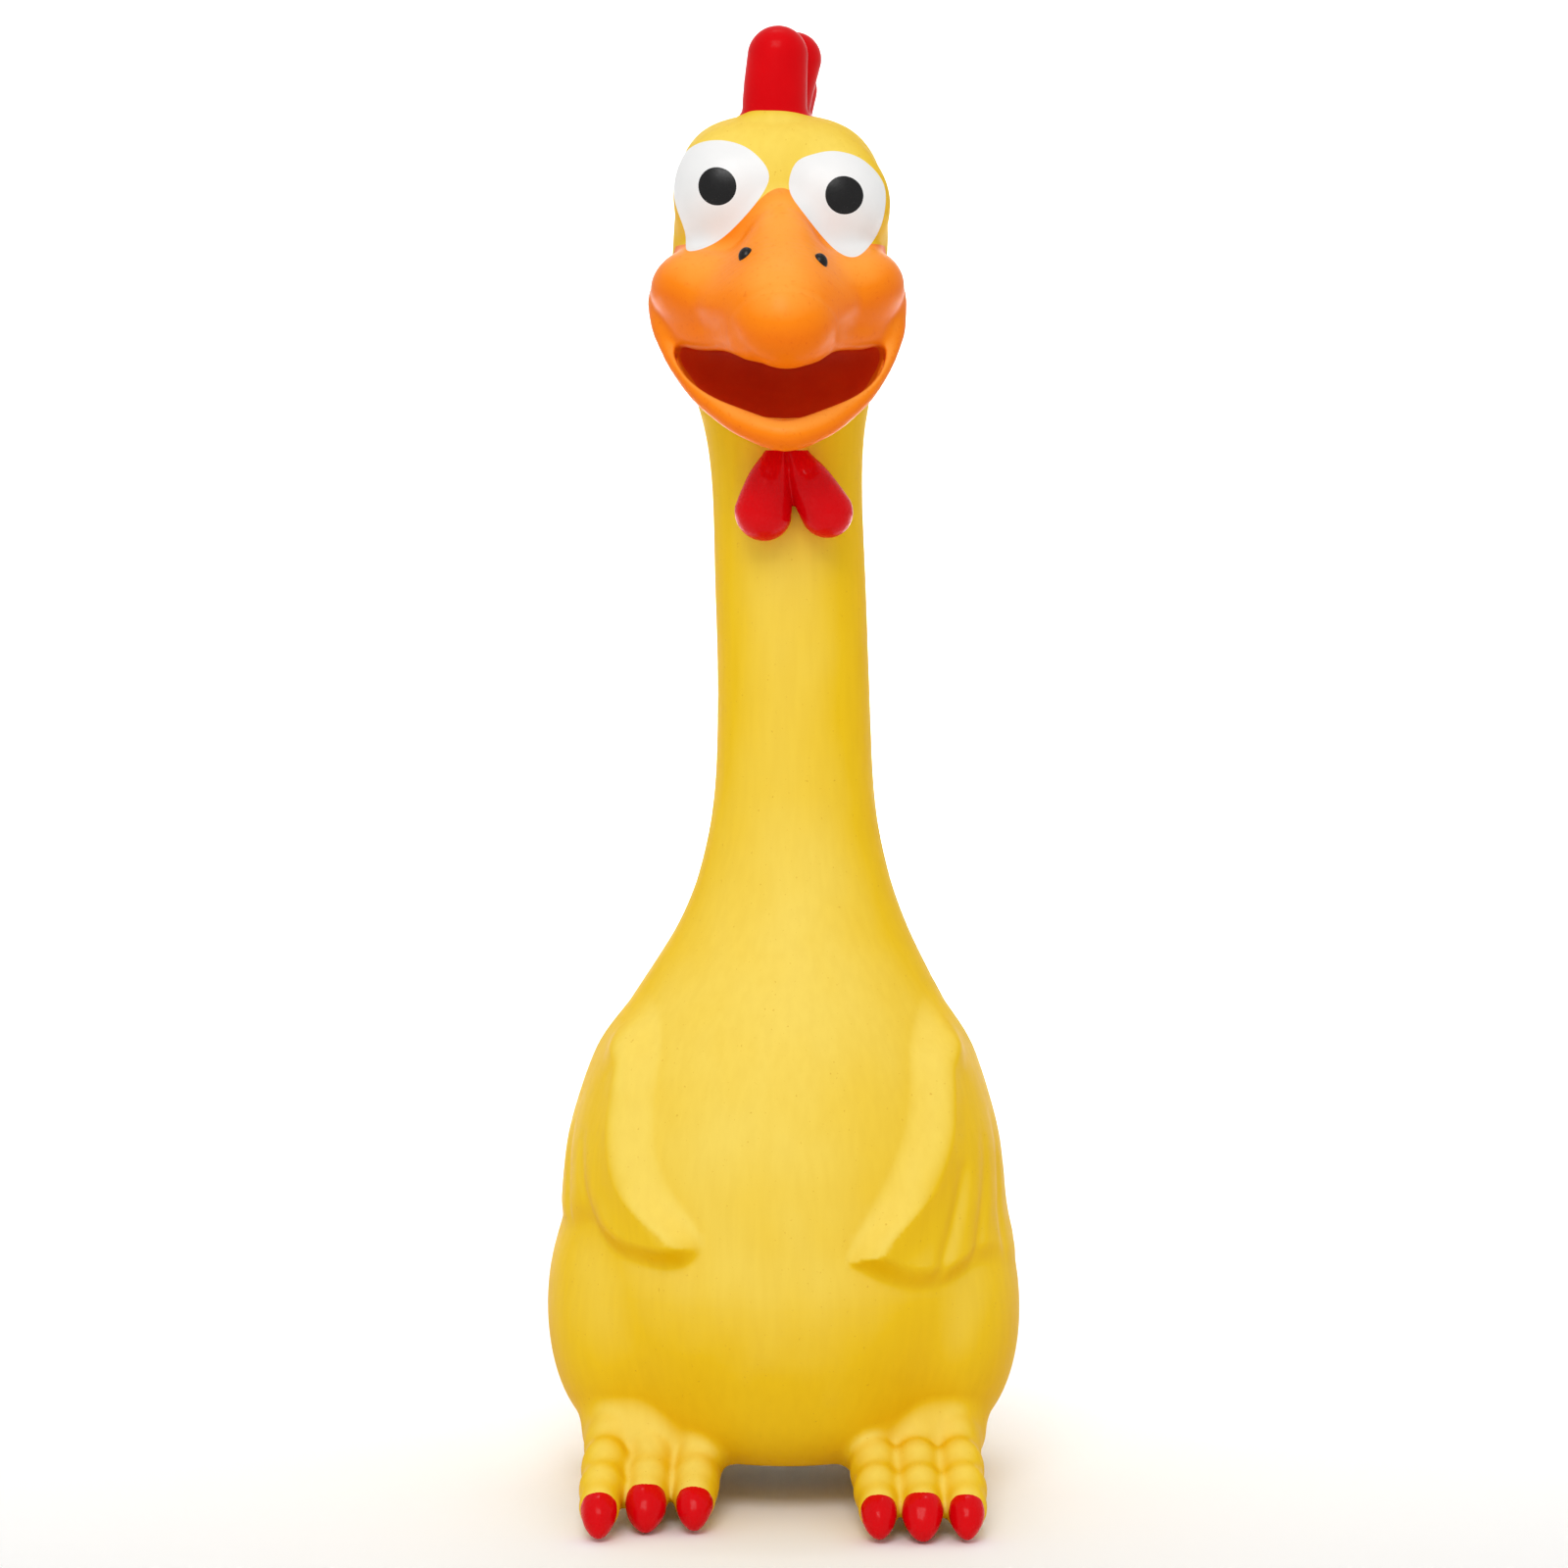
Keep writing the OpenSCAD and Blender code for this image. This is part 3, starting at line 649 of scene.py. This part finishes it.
# Thick red latex paint: even in colour, smoother than the rubber, with a thin gloss and small highlights.
def redPaint(name, codes, low, high, coat):
    finish, tree, shader = newFinish(name, Specular_IOR_Level=0.04, Coat_Weight=coat, Coat_Roughness=0.12)
    clouds = grain(tree, 5, 3, seed=3).outputs["Fac"]
    tree.links.new(shadesOf(tree, clouds, 0.3, 0.7, codes), shader.inputs["Base Color"])
    roughened(tree, shader, grain(tree, 0.8, 3, seed=6).outputs["Fac"], 0.04, 0.06, low, high)
    return finish


# The small finishes: each is a slightly cloudy colour with a fine surface, so that none is flat.
def plainPaint(name, codes, size, low, high, strength, **constants):
    finish, tree, shader = newFinish(name, **constants)
    clouds = grain(tree, size, 3, seed=7).outputs["Fac"]
    tree.links.new(shadesOf(tree, clouds, 0.3, 0.7, codes), shader.inputs["Base Color"])
    roughened(tree, shader, grain(tree, 0.5, 3, seed=11).outputs["Fac"], strength, 0.08, low, high)
    return finish


latex = yellowLatex()
orange = orangePaint()
combRed = redPaint("red comb paint", ["#d0020b", "#d6040d"], 0.28, 0.36, 0.04)
nailRed = redPaint("red nail paint", ["#d2020a", "#d8030c"], 0.24, 0.32, 0.14)
eyeWhite = plainPaint("white eye paint", ["#e7e7e6", "#ecebea"], 6, 0.38, 0.48, 0.1)
eyeBlack = plainPaint("black gloss paint", ["#0b0a0b", "#100f10"], 1.5, 0.26, 0.34, 0.15,
                      Specular_IOR_Level=0.3)
mouthRed = plainPaint("dark red mouth paint", ["#e64506", "#ee500a"], 7, 0.5, 0.62, 0.1)
clearPlastic = plainPaint("milky squeaker plastic", ["#e6e4dc", "#eeece6"], 3, 0.3, 0.4, 0.1,
                          Subsurface_Weight=0.2, Subsurface_Scale=0.001)
brass = plainPaint("brass reed", ["#b58a3c", "#c39a4a"], 1, 0.25, 0.4, 0.1, Metallic=1.0)
print("finishes made")


# Where the pieces of skin meet. Each rule is negative on the part it names.
def middleOf(node):
    low, high = (np.array(corner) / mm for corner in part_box(node))
    return (low + high) / 2, high - low


neckSeams = [middleOf("neck_flex_1")[0][2] - 6] + [middleOf(f"neck_ring_{i}")[0][2] for i in (1, 2, 3)]
neckSeams.append(middleOf("neck_flex_4")[0][2] + 6)
plugMiddle, plugSize = middleOf("squeaker_plug")
print("neck seams at", [round(float(z), 2) for z in neckSeams], "plug", plugMiddle.round(2), plugSize.round(2))
eyes = {
    "left": [(-13.5, 220.4), (-9, 221), (-4.6, 219.4), (-1.8, 215.6), (-3.4, 211.6), (-8, 206.4),
             (-11.6, 204), (-14.8, 203.4), (-15.4, 206.6), (-17.2, 212), (-16.6, 217.4)],
    "right": [(9.6, 219.2), (13.6, 217.8), (16.6, 214), (16.4, 208.6), (14.6, 204.6), (12, 202.2),
              (8.6, 203.6), (3.4, 209.4), (1.3, 213.2), (2.6, 217.2), (6, 218.8)],
    "pupils": {"left": ((-10.1, 213.5), 3.05), "right": ((10.1, 212.1), 3.05)},  # (middle, radius)
}
eyeMaps = {side: outlineTable(smoothLine(eyes[side], 5, closed=True), (-22, 195), (22, 228), 0.25)
           for side in ("left", "right")}


def leaning(rule):  # a rule that is set out about x = 0, for the leaning toy
    return lambda p: rule(straightened(p))


def above(height):  # the part above a level
    return lambda p: height - p[:, 2]


def liningEdge(q):  # dark paint starts a little way inside the lips
    away = mouth["paintIn"]
    hidden = np.maximum(np.abs(mouthForm(q)) - 0.5, away - np.minimum(lowerForm(q), upperForm(q)))
    return np.minimum(outerHead(q) + away, hidden)


def orangeTop(q):  # the painted edge from the brow, down past the eyes and over the cheeks
    x = np.abs(q[:, 0])
    edge = upperBeak["paintTop"] - 6.3 * ease(x / 9.5) - 2.3 * ease((x - 8) / 5)
    return np.maximum(q[:, 2] - edge, q[:, 1] - upperBeak["paintBack"])


def eyeEdge(q, side):
    return np.maximum(lookUp(eyeMaps[side], q[:, 0], q[:, 2]), q[:, 1])


def pupilEdge(q, side):
    (x, z), radius = eyes["pupils"][side]
    return np.hypot(q[:, 0] - x, q[:, 2] - z) - radius + np.maximum(q[:, 1], 0)


bodyRules = {
    "aboveBelly": above(neckSeams[0]), "aboveFirst": above(neckSeams[1]), "aboveSecond": above(neckSeams[2]),
    "aboveThird": above(neckSeams[3]), "aboveNeck": above(neckSeams[4]),
    "wing": leaning(lambda q: wingHeight(q)[1] + 0.2),
    "foot": leaning(lambda q: np.maximum(footForm(q) - feet["skin"], q[:, 2] - feet["skinTop"])),
    "tail": leaning(lambda q: np.maximum(tailForm(q) - tail["skin"], tail["skinFront"] - q[:, 1])),
    "plug": lambda p: np.maximum(np.hypot(*(p[:, :2] - plugMiddle[:2]).T) - plugSize[0] / 2 + 2, p[:, 2] - 14),
}
headRules = {
    "aboveNeck": above(neckSeams[4]),
    "lining": leaning(liningEdge),
    "palate": above(mouth["split"]),
    "comb": leaning(lambda q: comb["paintHeight"] + 0.55 * wobble(q, 8, 5) - q[:, 2]),
    "eyeLeft": leaning(lambda q: eyeEdge(q, "left")), "eyeRight": leaning(lambda q: eyeEdge(q, "right")),
    "lower": leaning(lambda q: np.maximum(lowerForm(q) - np.minimum(upperForm(q), lowerBeak["paint"]),
                                          q[:, 1] - lowerBeak["paintBack"])),
    "upper": leaning(lambda q: np.maximum(upperForm(q) - upperBeak["paint"], orangeTop(q))),
    "wattles": leaning(lambda q: np.maximum(wattleForm(q) - wattles["paint"], q[:, 2] - wattles["paintTop"])),
    "pupilLeft": leaning(lambda q: pupilEdge(q, "left")),
    "pupilRight": leaning(lambda q: pupilEdge(q, "right")),
    "throat": lambda p: p[:, 2] - head["throatTop"],
}


def cutSkin(low, high, cell, rules):
    points, quads = skinOf(castForm, low, high, cell)
    tris = splitQuads(points, quads)
    sides = cutAlong(points, tris, list(rules.values()))
    return points, tris, dict(zip(rules, sides)), slopes(castForm, points)


def skinPiece(name, skin, keep, material, wall, nodes, body=None, bend=None):
    points, tris, _, normals = skin
    used, inverse = np.unique(tris[keep], return_inverse=True)
    depth = np.full((len(used), 1), float(wall))
    for _ in range(3):  # thinner where another surface is near
        shallow = chunked(castForm, points[used] - normals[used] * depth) > -0.4 * depth[:, 0]
        depth[shallow] *= 0.5
    shape = thickened(points[used], normals[used], inverse.reshape(-1, 3), depth)
    piece = makePiece(name, shape[0], shape[2], material, shape[1])
    if bend:
        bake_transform(piece)
    else:
        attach(piece, body)
    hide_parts(*nodes)
    return piece


skins = {
    "bodyCell": 0.72, "headCell": 0.45,  # size of the cells that the surface is found in
    "belly": 2.2, "wing": 1.8, "foot": 1.6, "tail": 1.6, "neck": 2.2, "head": 2.2,  # thickness of each piece
    "upperBeak": 1.2, "lowerBeak": 1.1, "mouth": 0.8, "wattle": 1.4, "comb": 1.8, "eyeWhite": 1.1, "pupil": 1.0,
}
body = cutSkin((-50, -50, -2), (50, 50, 163), skins["bodyCell"], bodyRules)
print("body skin:", len(body[1]), "triangles")
part = body[2]
onBody = ~part["aboveBelly"] & ~part["plug"]
middles = body[0][body[1]].mean(axis=1)
onLeft = middles[:, 0] < 0
footFaces = part["foot"] & onBody
tailFaces = part["tail"] & onBody
wingFaces = part["wing"] & onBody & ~tailFaces & ~footFaces
belly = onBody & ~footFaces & ~tailFaces & ~wingFaces
press = ("torso", "belly_front", (0, -28, 0), (0, -37.5, 0))  # the torso and the belly's front, between these depths; here the pieces given it are only baked in place
skinPiece("bellySkin", body, belly, latex, skins["belly"], ["belly_shell", "belly_press_patch"],
          bend=press)
for side, chosenSide in (("left", onLeft), ("right", ~onLeft)):
    skinPiece(f"{side}Wing", body, wingFaces & chosenSide, latex, skins["wing"], [f"wing_{side}"],
              bend=press)
    skinPiece(f"{side}Foot", body, footFaces & chosenSide, latex, skins["foot"], [f"foot_{side}"],
              "torso")
skinPiece("tailFeathers", body, tailFaces, latex, skins["tail"], ["tail"], "torso")
neckBodies = ["torso", "neck_low", "neck_mid", "neck_high", "head"]
levels = ["aboveBelly", "aboveFirst", "aboveSecond", "aboveThird", "aboveNeck"]
names = ["lowNeckSkin", "middleNeckSkin", "upperNeckSkin", "topNeckSkin"]
for i, name in enumerate(names):
    flexLow, flexHigh = (corner[2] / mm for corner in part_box(f"neck_flex_{i + 1}"))
    nodes = [f"neck_flex_{i + 1}"] + ([f"neck_ring_{i + 1}"] if i < 3 else [])
    bend = (neckBodies[i], neckBodies[i + 1], (0, 0, flexLow), (0, 0, flexHigh))
    between = part[levels[i]] & ~part[levels[i + 1]]
    skinPiece(name, body, between, latex, skins["neck"], nodes, bend=bend)
print("body pieces made")

skull = cutSkin((-28, -46, 153), (28, 26, 244), skins["headCell"], headRules)
print("head skin:", len(skull[1]), "triangles")
part = skull[2]
onHead = part["aboveNeck"]
lining = part["lining"] & onHead & ~part["comb"]
combFaces = part["comb"] & onHead
outside = onHead & ~lining & ~combFaces
leftPupil, rightPupil = part["pupilLeft"] & outside, part["pupilRight"] & outside
leftEye = part["eyeLeft"] & outside & ~leftPupil
rightEye = part["eyeRight"] & outside & ~rightPupil
face = outside & ~leftPupil & ~rightPupil & ~leftEye & ~rightEye
lowerFaces = part["lower"] & face
upperFaces = part["upper"] & face & ~lowerFaces
wattleFaces = part["wattles"] & face & ~lowerFaces & ~upperFaces
plain = face & ~lowerFaces & ~upperFaces & ~wattleFaces
jawBend = ("head", "jaw", (0, -12.6, 0), (0, -25, 0))
skinPiece("throatSkin", skull, plain & part["throat"], latex, skins["head"], ["head_shell"],
          bend=jawBend)
skinPiece("headSkin", skull, plain & ~part["throat"], latex, skins["head"], ["head_shell", "comb_root"],
          "head")
skinPiece("upperBeak", skull, upperFaces, orange, skins["upperBeak"], ["upper_beak"], "head")
skinPiece("lowerBeak", skull, lowerFaces, orange, skins["lowerBeak"], ["lower_beak"],
          bend=jawBend)
skinPiece("palate", skull, lining & part["palate"], mouthRed, skins["mouth"], ["mouth_lining"],
          "head")
skinPiece("mouthFloor", skull, lining & ~part["palate"], mouthRed, skins["mouth"], ["mouth_lining"],
          bend=jawBend)
wattlesLeft = skull[0][skull[1]].mean(axis=1)[:, 0] < 0.4
for side, chosenSide in (("left", wattlesLeft), ("right", ~wattlesLeft)):
    skinPiece(f"{side}Wattle", skull, wattleFaces & chosenSide, nailRed, skins["wattle"], [f"wattle_{side}"],
              bend=jawBend)
combBase = comb["paintHeight"]
skinPiece("combLobes", skull, combFaces, combRed, skins["comb"], ["comb"],
          bend=("head", "comb", (0, 0, combBase - 3), (0, 0, combBase + 3)))
for side, eye, pupil in (("left", leftEye, leftPupil), ("right", rightEye, rightPupil)):
    skinPiece(f"{side}EyeWhite", skull, eye, eyeWhite, skins["eyeWhite"], [f"eye_white_{side}"],
              "head")
    skinPiece(f"{side}Pupil", skull, pupil, eyeBlack, skins["pupil"], [f"pupil_{side}"],
              "head")
print("head pieces made")


# Small beads: nostrils are set in the beak by following the surface in from the front.
def frontOf(x, z, start=-46, reach=60):
    ys = np.arange(start, start + reach, 0.05)
    line = np.stack([np.full(len(ys), float(x)), ys, np.full(len(ys), float(z))], 1)
    return line[np.argmax(castForm(line) < 0)]


def bead(name, centre, radii, towards, material):  # an egg-shaped bead that faces a direction
    turns, rows = 40, 24
    around, down = np.meshgrid(np.arange(turns) / turns * 2 * math.pi, np.arange(1, rows) / rows * math.pi)
    rings = [np.sin(down) * np.cos(around), np.sin(down) * np.sin(around), np.cos(down)]
    ball = np.vstack([np.stack(rings, -1).reshape(-1, 3), [0, 0, 1], [0, 0, -1]])
    faces = []
    for r in range(rows - 2):
        for t in range(turns):
            a, b = r * turns + t, r * turns + (t + 1) % turns
            faces.append((a, a + turns, b + turns, b))
    top, bottom = len(ball) - 2, len(ball) - 1
    last = (rows - 2) * turns
    mesh = bpy.data.meshes.new(name)
    out = towards / np.linalg.norm(towards)
    side = np.cross([0, 0, 1.0], out)
    side /= np.linalg.norm(side)
    up = np.cross(out, side)
    placed = centre + (ball * radii) @ np.stack([side, out, up])
    faces = [(d, c, b, a) for a, b, c, d in faces]
    faces += [(top, (t + 1) % turns, t)[::-1] for t in range(turns)]
    faces += [(bottom, last + t, last + (t + 1) % turns)[::-1] for t in range(turns)]
    mesh.from_pydata((placed * mm).tolist(), [], faces)
    mesh.polygons.foreach_set("use_smooth", [True] * len(mesh.polygons))
    mesh.materials.append(material)
    piece = bpy.data.objects.new(name, mesh)
    bpy.context.scene.collection.objects.link(piece)
    return piece


nostrils = {"places": [(-6.1, 202.2), (5.8, 201.2)], "radii": (1.2, 1.05, 1.4)}
for name, (x, z) in zip(("leftNostril", "rightNostril"), nostrils["places"]):
    spot = frontOf(x, z)
    out = slopes(castForm, spot[None])[0]
    piece = bead(name, spot - 0.2 * out, nostrils["radii"], out + (0, -1, 0), eyeBlack)
    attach(piece, "head")
    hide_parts("nostrils")
print("beads made")


# Claws: one rule, shaped by its sizes.
def newTree(name, sizes, uses):
    tree = bpy.data.node_groups.new(name, "GeometryNodeTree")
    tree.interface.new_socket("Geometry", in_out="OUTPUT", socket_type="NodeSocketGeometry")
    for label, value in sizes.items():
        socket = tree.interface.new_socket(label, in_out="INPUT", socket_type="NodeSocketFloat")
        socket.default_value = value
    given = tree.nodes.new("NodeGroupInput").outputs
    shape = uses(tree, given)
    smooth = addNode(tree, "GeometryNodeSetShadeSmooth", {"Geometry": shape})
    real = addNode(tree, "GeometryNodeRealizeInstances", {"Geometry": smooth.outputs[0]})
    painted = addNode(tree, "GeometryNodeSetMaterial", {"Geometry": real.outputs[0]})
    out = tree.nodes.new("NodeGroupOutput")
    tree.links.new(painted.outputs[0], out.inputs[0])
    return tree, painted


def grown(name, tree, painted, material, sizes):  # the tree's mesh, as a plain object
    painted.inputs["Material"].default_value = material
    piece = bpy.data.objects.new(name, bpy.data.meshes.new(name))
    bpy.context.scene.collection.objects.link(piece)
    maker = piece.modifiers.new("maker", "NODES")
    maker.node_group = tree
    for item in tree.interface.items_tree:
        if item.item_type == "SOCKET" and item.in_out == "INPUT" and item.name in sizes:
            maker[item.identifier] = float(sizes[item.name])
    whole = piece.evaluated_get(bpy.context.evaluated_depsgraph_get())
    mesh = bpy.data.meshes.new_from_object(whole)
    piece.modifiers.remove(maker)
    piece.data = mesh
    mesh.name = name
    return piece


def clawShape(tree, given):
    ball = addNode(tree, "GeometryNodeMeshUVSphere", {"Segments": 40, "Rings": 28, "Radius": 1.0})
    place = addNode(tree, "GeometryNodeInputPosition").outputs[0]
    x, y, z = addNode(tree, "ShaderNodeSeparateXYZ", {"Vector": place}).outputs
    low = mathNode(tree, "MULTIPLY", mathNode(tree, "SUBTRACT", 1.0, z), 0.5)
    pinch = mathNode(tree, "MULTIPLY", mathNode(tree, "POWER", low, 2.2), given["Taper"])
    narrow = mathNode(tree, "SUBTRACT", 1.0, pinch)
    noise = {"Vector": place, "Scale": 1.6, "Detail": 1.0, "W": given["Seed"]}
    lumps = addNode(tree, "ShaderNodeTexNoise", noise, noise_dimensions="4D").outputs["Fac"]
    uneven = mathNode(tree, "MULTIPLY", mathNode(tree, "SUBTRACT", lumps, 0.5), given["Lumps"])
    swell = mathNode(tree, "ADD", uneven, 1.0)
    across = mathNode(tree, "MULTIPLY", mathNode(tree, "MULTIPLY", x, narrow), swell)
    along = mathNode(tree, "MULTIPLY", y, swell)
    wide = mathNode(tree, "MULTIPLY", mathNode(tree, "MULTIPLY", across, given["Width"]), 0.5)
    deep = mathNode(tree, "MULTIPLY", mathNode(tree, "MULTIPLY", along, given["Length"]), 0.5)
    tall = mathNode(tree, "MULTIPLY", mathNode(tree, "MULTIPLY", z, given["Height"]), 0.5)
    sag = mathNode(tree, "MULTIPLY", tall, given["Slope"])
    spot = addNode(tree, "ShaderNodeCombineXYZ", {"X": wide, "Y": mathNode(tree, "ADD", deep, sag), "Z": tall})
    middle = addNode(tree, "ShaderNodeCombineXYZ", {"X": given["Sideways"], "Y": given["Forward"],
                                                    "Z": given["Rise"]})
    moved = addNode(tree, "ShaderNodeVectorMath", {0: spot.outputs[0], 1: middle.outputs[0]}, operation="ADD")
    return addNode(tree, "GeometryNodeSetPosition", {"Geometry": ball.outputs[0],
                                                     "Position": moved.outputs[0]}).outputs[0]


claws = {
    "size": {"Length": 7.2 * mm, "Height": 7.4 * mm, "Taper": 0.24, "Slope": 0.4, "Lumps": 0.18,
             "Forward": -39.2 * mm, "Rise": 4.1 * mm},
    "widths": {"inner": 6.1, "middle": 6.9, "outer": 6.0},
    "heights": {"inner": 7.2, "middle": 7.7, "outer": 7.4},
}
clawInputs = {**claws["size"], "Width": 6 * mm, "Sideways": 0.0, "Seed": 0.0}
clawTree, clawPaint = newTree("claw", clawInputs, clawShape)
for side, sign in (("left", -1), ("right", 1)):
    for i, toe in enumerate(("inner", "middle", "outer")):
        across, back = feet["toes"][sign][i]
        sizes = dict(claws["size"], Width=claws["widths"][toe] * mm, Height=claws["heights"][toe] * mm,
                     Sideways=across * mm, Seed=i + 3 * (sign > 0) + 1.0)
        sizes["Forward"] += back * mm
        piece = grown(f"{side}{toe.title()}Claw", clawTree, clawPaint, nailRed, sizes)
        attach(piece, "torso")
        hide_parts(f"claw_{side}_{toe}")
print("claws made")


# The squeaker keeps its CAD parts. Grip ribs round its flange are added.
def ribShape(tree, given):
    ring = addNode(tree, "GeometryNodeMeshCircle", {"Vertices": 24, "Radius": given["Radius"]})
    rib = addNode(tree, "GeometryNodeMeshUVSphere", {"Segments": 12, "Rings": 8, "Radius": given["Rib"]})
    dotted = addNode(tree, "GeometryNodeInstanceOnPoints", {"Points": ring.outputs[0],
                                                            "Instance": rib.outputs[0]})
    middle = addNode(tree, "ShaderNodeCombineXYZ", {"X": given["Across"], "Y": given["Along"],
                                                    "Z": given["Rise"]})
    return addNode(tree, "GeometryNodeTransform", {"Geometry": dotted.outputs[0],
                                                   "Translation": middle.outputs[0]}).outputs[0]


ribs = {"Radius": (plugSize[0] / 2 - 3.2) * mm, "Rib": 0.45 * mm, "Across": plugMiddle[0] * mm,
        "Along": plugMiddle[1] * mm, "Rise": (plugMiddle[2] - plugSize[2] / 2 + 0.05) * mm}
ribTree, ribPaint = newTree("gripRibs", ribs, ribShape)
gripRibs = grown("gripRibs", ribTree, ribPaint, clearPlastic, ribs)
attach(gripRibs, "torso")
squeaker = {"squeaker_plug": clearPlastic, "reed_tube": clearPlastic, "reed_block": clearPlastic,
            "reed_clip": clearPlastic, "reed": brass}
for node, finish in squeaker.items():
    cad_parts[node].data.materials.clear()
    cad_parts[node].data.materials.append(finish)
print("squeaker dressed")


# Floor, light and camera.
def matte(name, code, rough):
    return newFinish(name, Base_Color=tint(code), Roughness=rough)[0]


# A wide pale floor, and a narrower sweep that curves up behind the object.
def stagePlane(name, edge, half):
    corners = [(x, y, z) for y, z in edge for x in (-half, half)]
    mesh = bpy.data.meshes.new(name)
    mesh.from_pydata(corners, [], [(2 * i, 2 * i + 1, 2 * i + 3, 2 * i + 2) for i in range(len(edge) - 1)])
    mesh.polygons.foreach_set("use_smooth", [True] * len(mesh.polygons))
    mesh.materials.append(studioWhite)
    plane = bpy.data.objects.new(name, mesh)
    bpy.context.scene.collection.objects.link(plane)


studioWhite = matte("white studio paper", "#f4f4f3", 0.9)
sweep = {"half": 0.8, "bend": 1.6, "radius": 0.8, "top": 1.3, "steps": 16}
stagePlane("floor", [(-3, 0), (sweep["bend"], 0)], 3)
curve = [(sweep["bend"], 0)]
for i in range(1, sweep["steps"] + 1):
    turn = math.pi / 2 * i / sweep["steps"]
    curve.append((sweep["bend"] + sweep["radius"] * math.sin(turn), sweep["radius"] * (1 - math.cos(turn))))
curve.append((sweep["bend"] + sweep["radius"], sweep["top"]))
stagePlane("sweep", curve, sweep["half"])

world = bpy.data.worlds.new("studio")
world.use_nodes = True
world.node_tree.nodes["Background"].inputs["Color"].default_value = (1, 1, 1, 1)
world.node_tree.nodes["Background"].inputs["Strength"].default_value = 0.72
bpy.context.scene.world = world
bpy.context.scene.view_settings.view_transform = "Standard"


def softLight(name, place, aim, size, watts, spread=180):
    data = bpy.data.lights.new(name, "AREA")
    data.shape = "RECTANGLE"
    data.size, data.size_y = size
    data.energy = watts
    data.spread = math.radians(spread)
    lamp = bpy.data.objects.new(name, data)
    way = np.array(aim, float) - np.array(place, float)
    tilt, turn = math.acos(-way[2] / np.linalg.norm(way)), math.atan2(way[1], way[0]) - math.pi / 2
    lamp.location = place
    lamp.rotation_euler = (tilt, 0, turn)
    bpy.context.scene.collection.objects.link(lamp)


target = (0, 0, 0.12)
softLight("keyBox", (-0.12, -0.85, 1.0), target, (0.6, 0.5), 5.4)
softLight("sweepBox", (0, 1.3, 1.3), (0, 2.3, 0.25), (1.6, 0.5), 26)
softLight("floorBox", (0, 0.6, 1.5), (0, 1.1, 0), (1.2, 0.7), 24, spread=75)

view = {"place": (0, -0.65, 0.175), "down": 5.15, "lens": 90.45}
camera = bpy.data.objects.new("camera", bpy.data.cameras.new("camera"))
camera.data.lens = view["lens"]
camera.data.sensor_width = 36
camera.data.clip_start = 0.01
camera.location = view["place"]
camera.rotation_euler = (math.radians(90 - view["down"]), 0, 0)
bpy.context.scene.collection.objects.link(camera)
bpy.context.scene.camera = camera
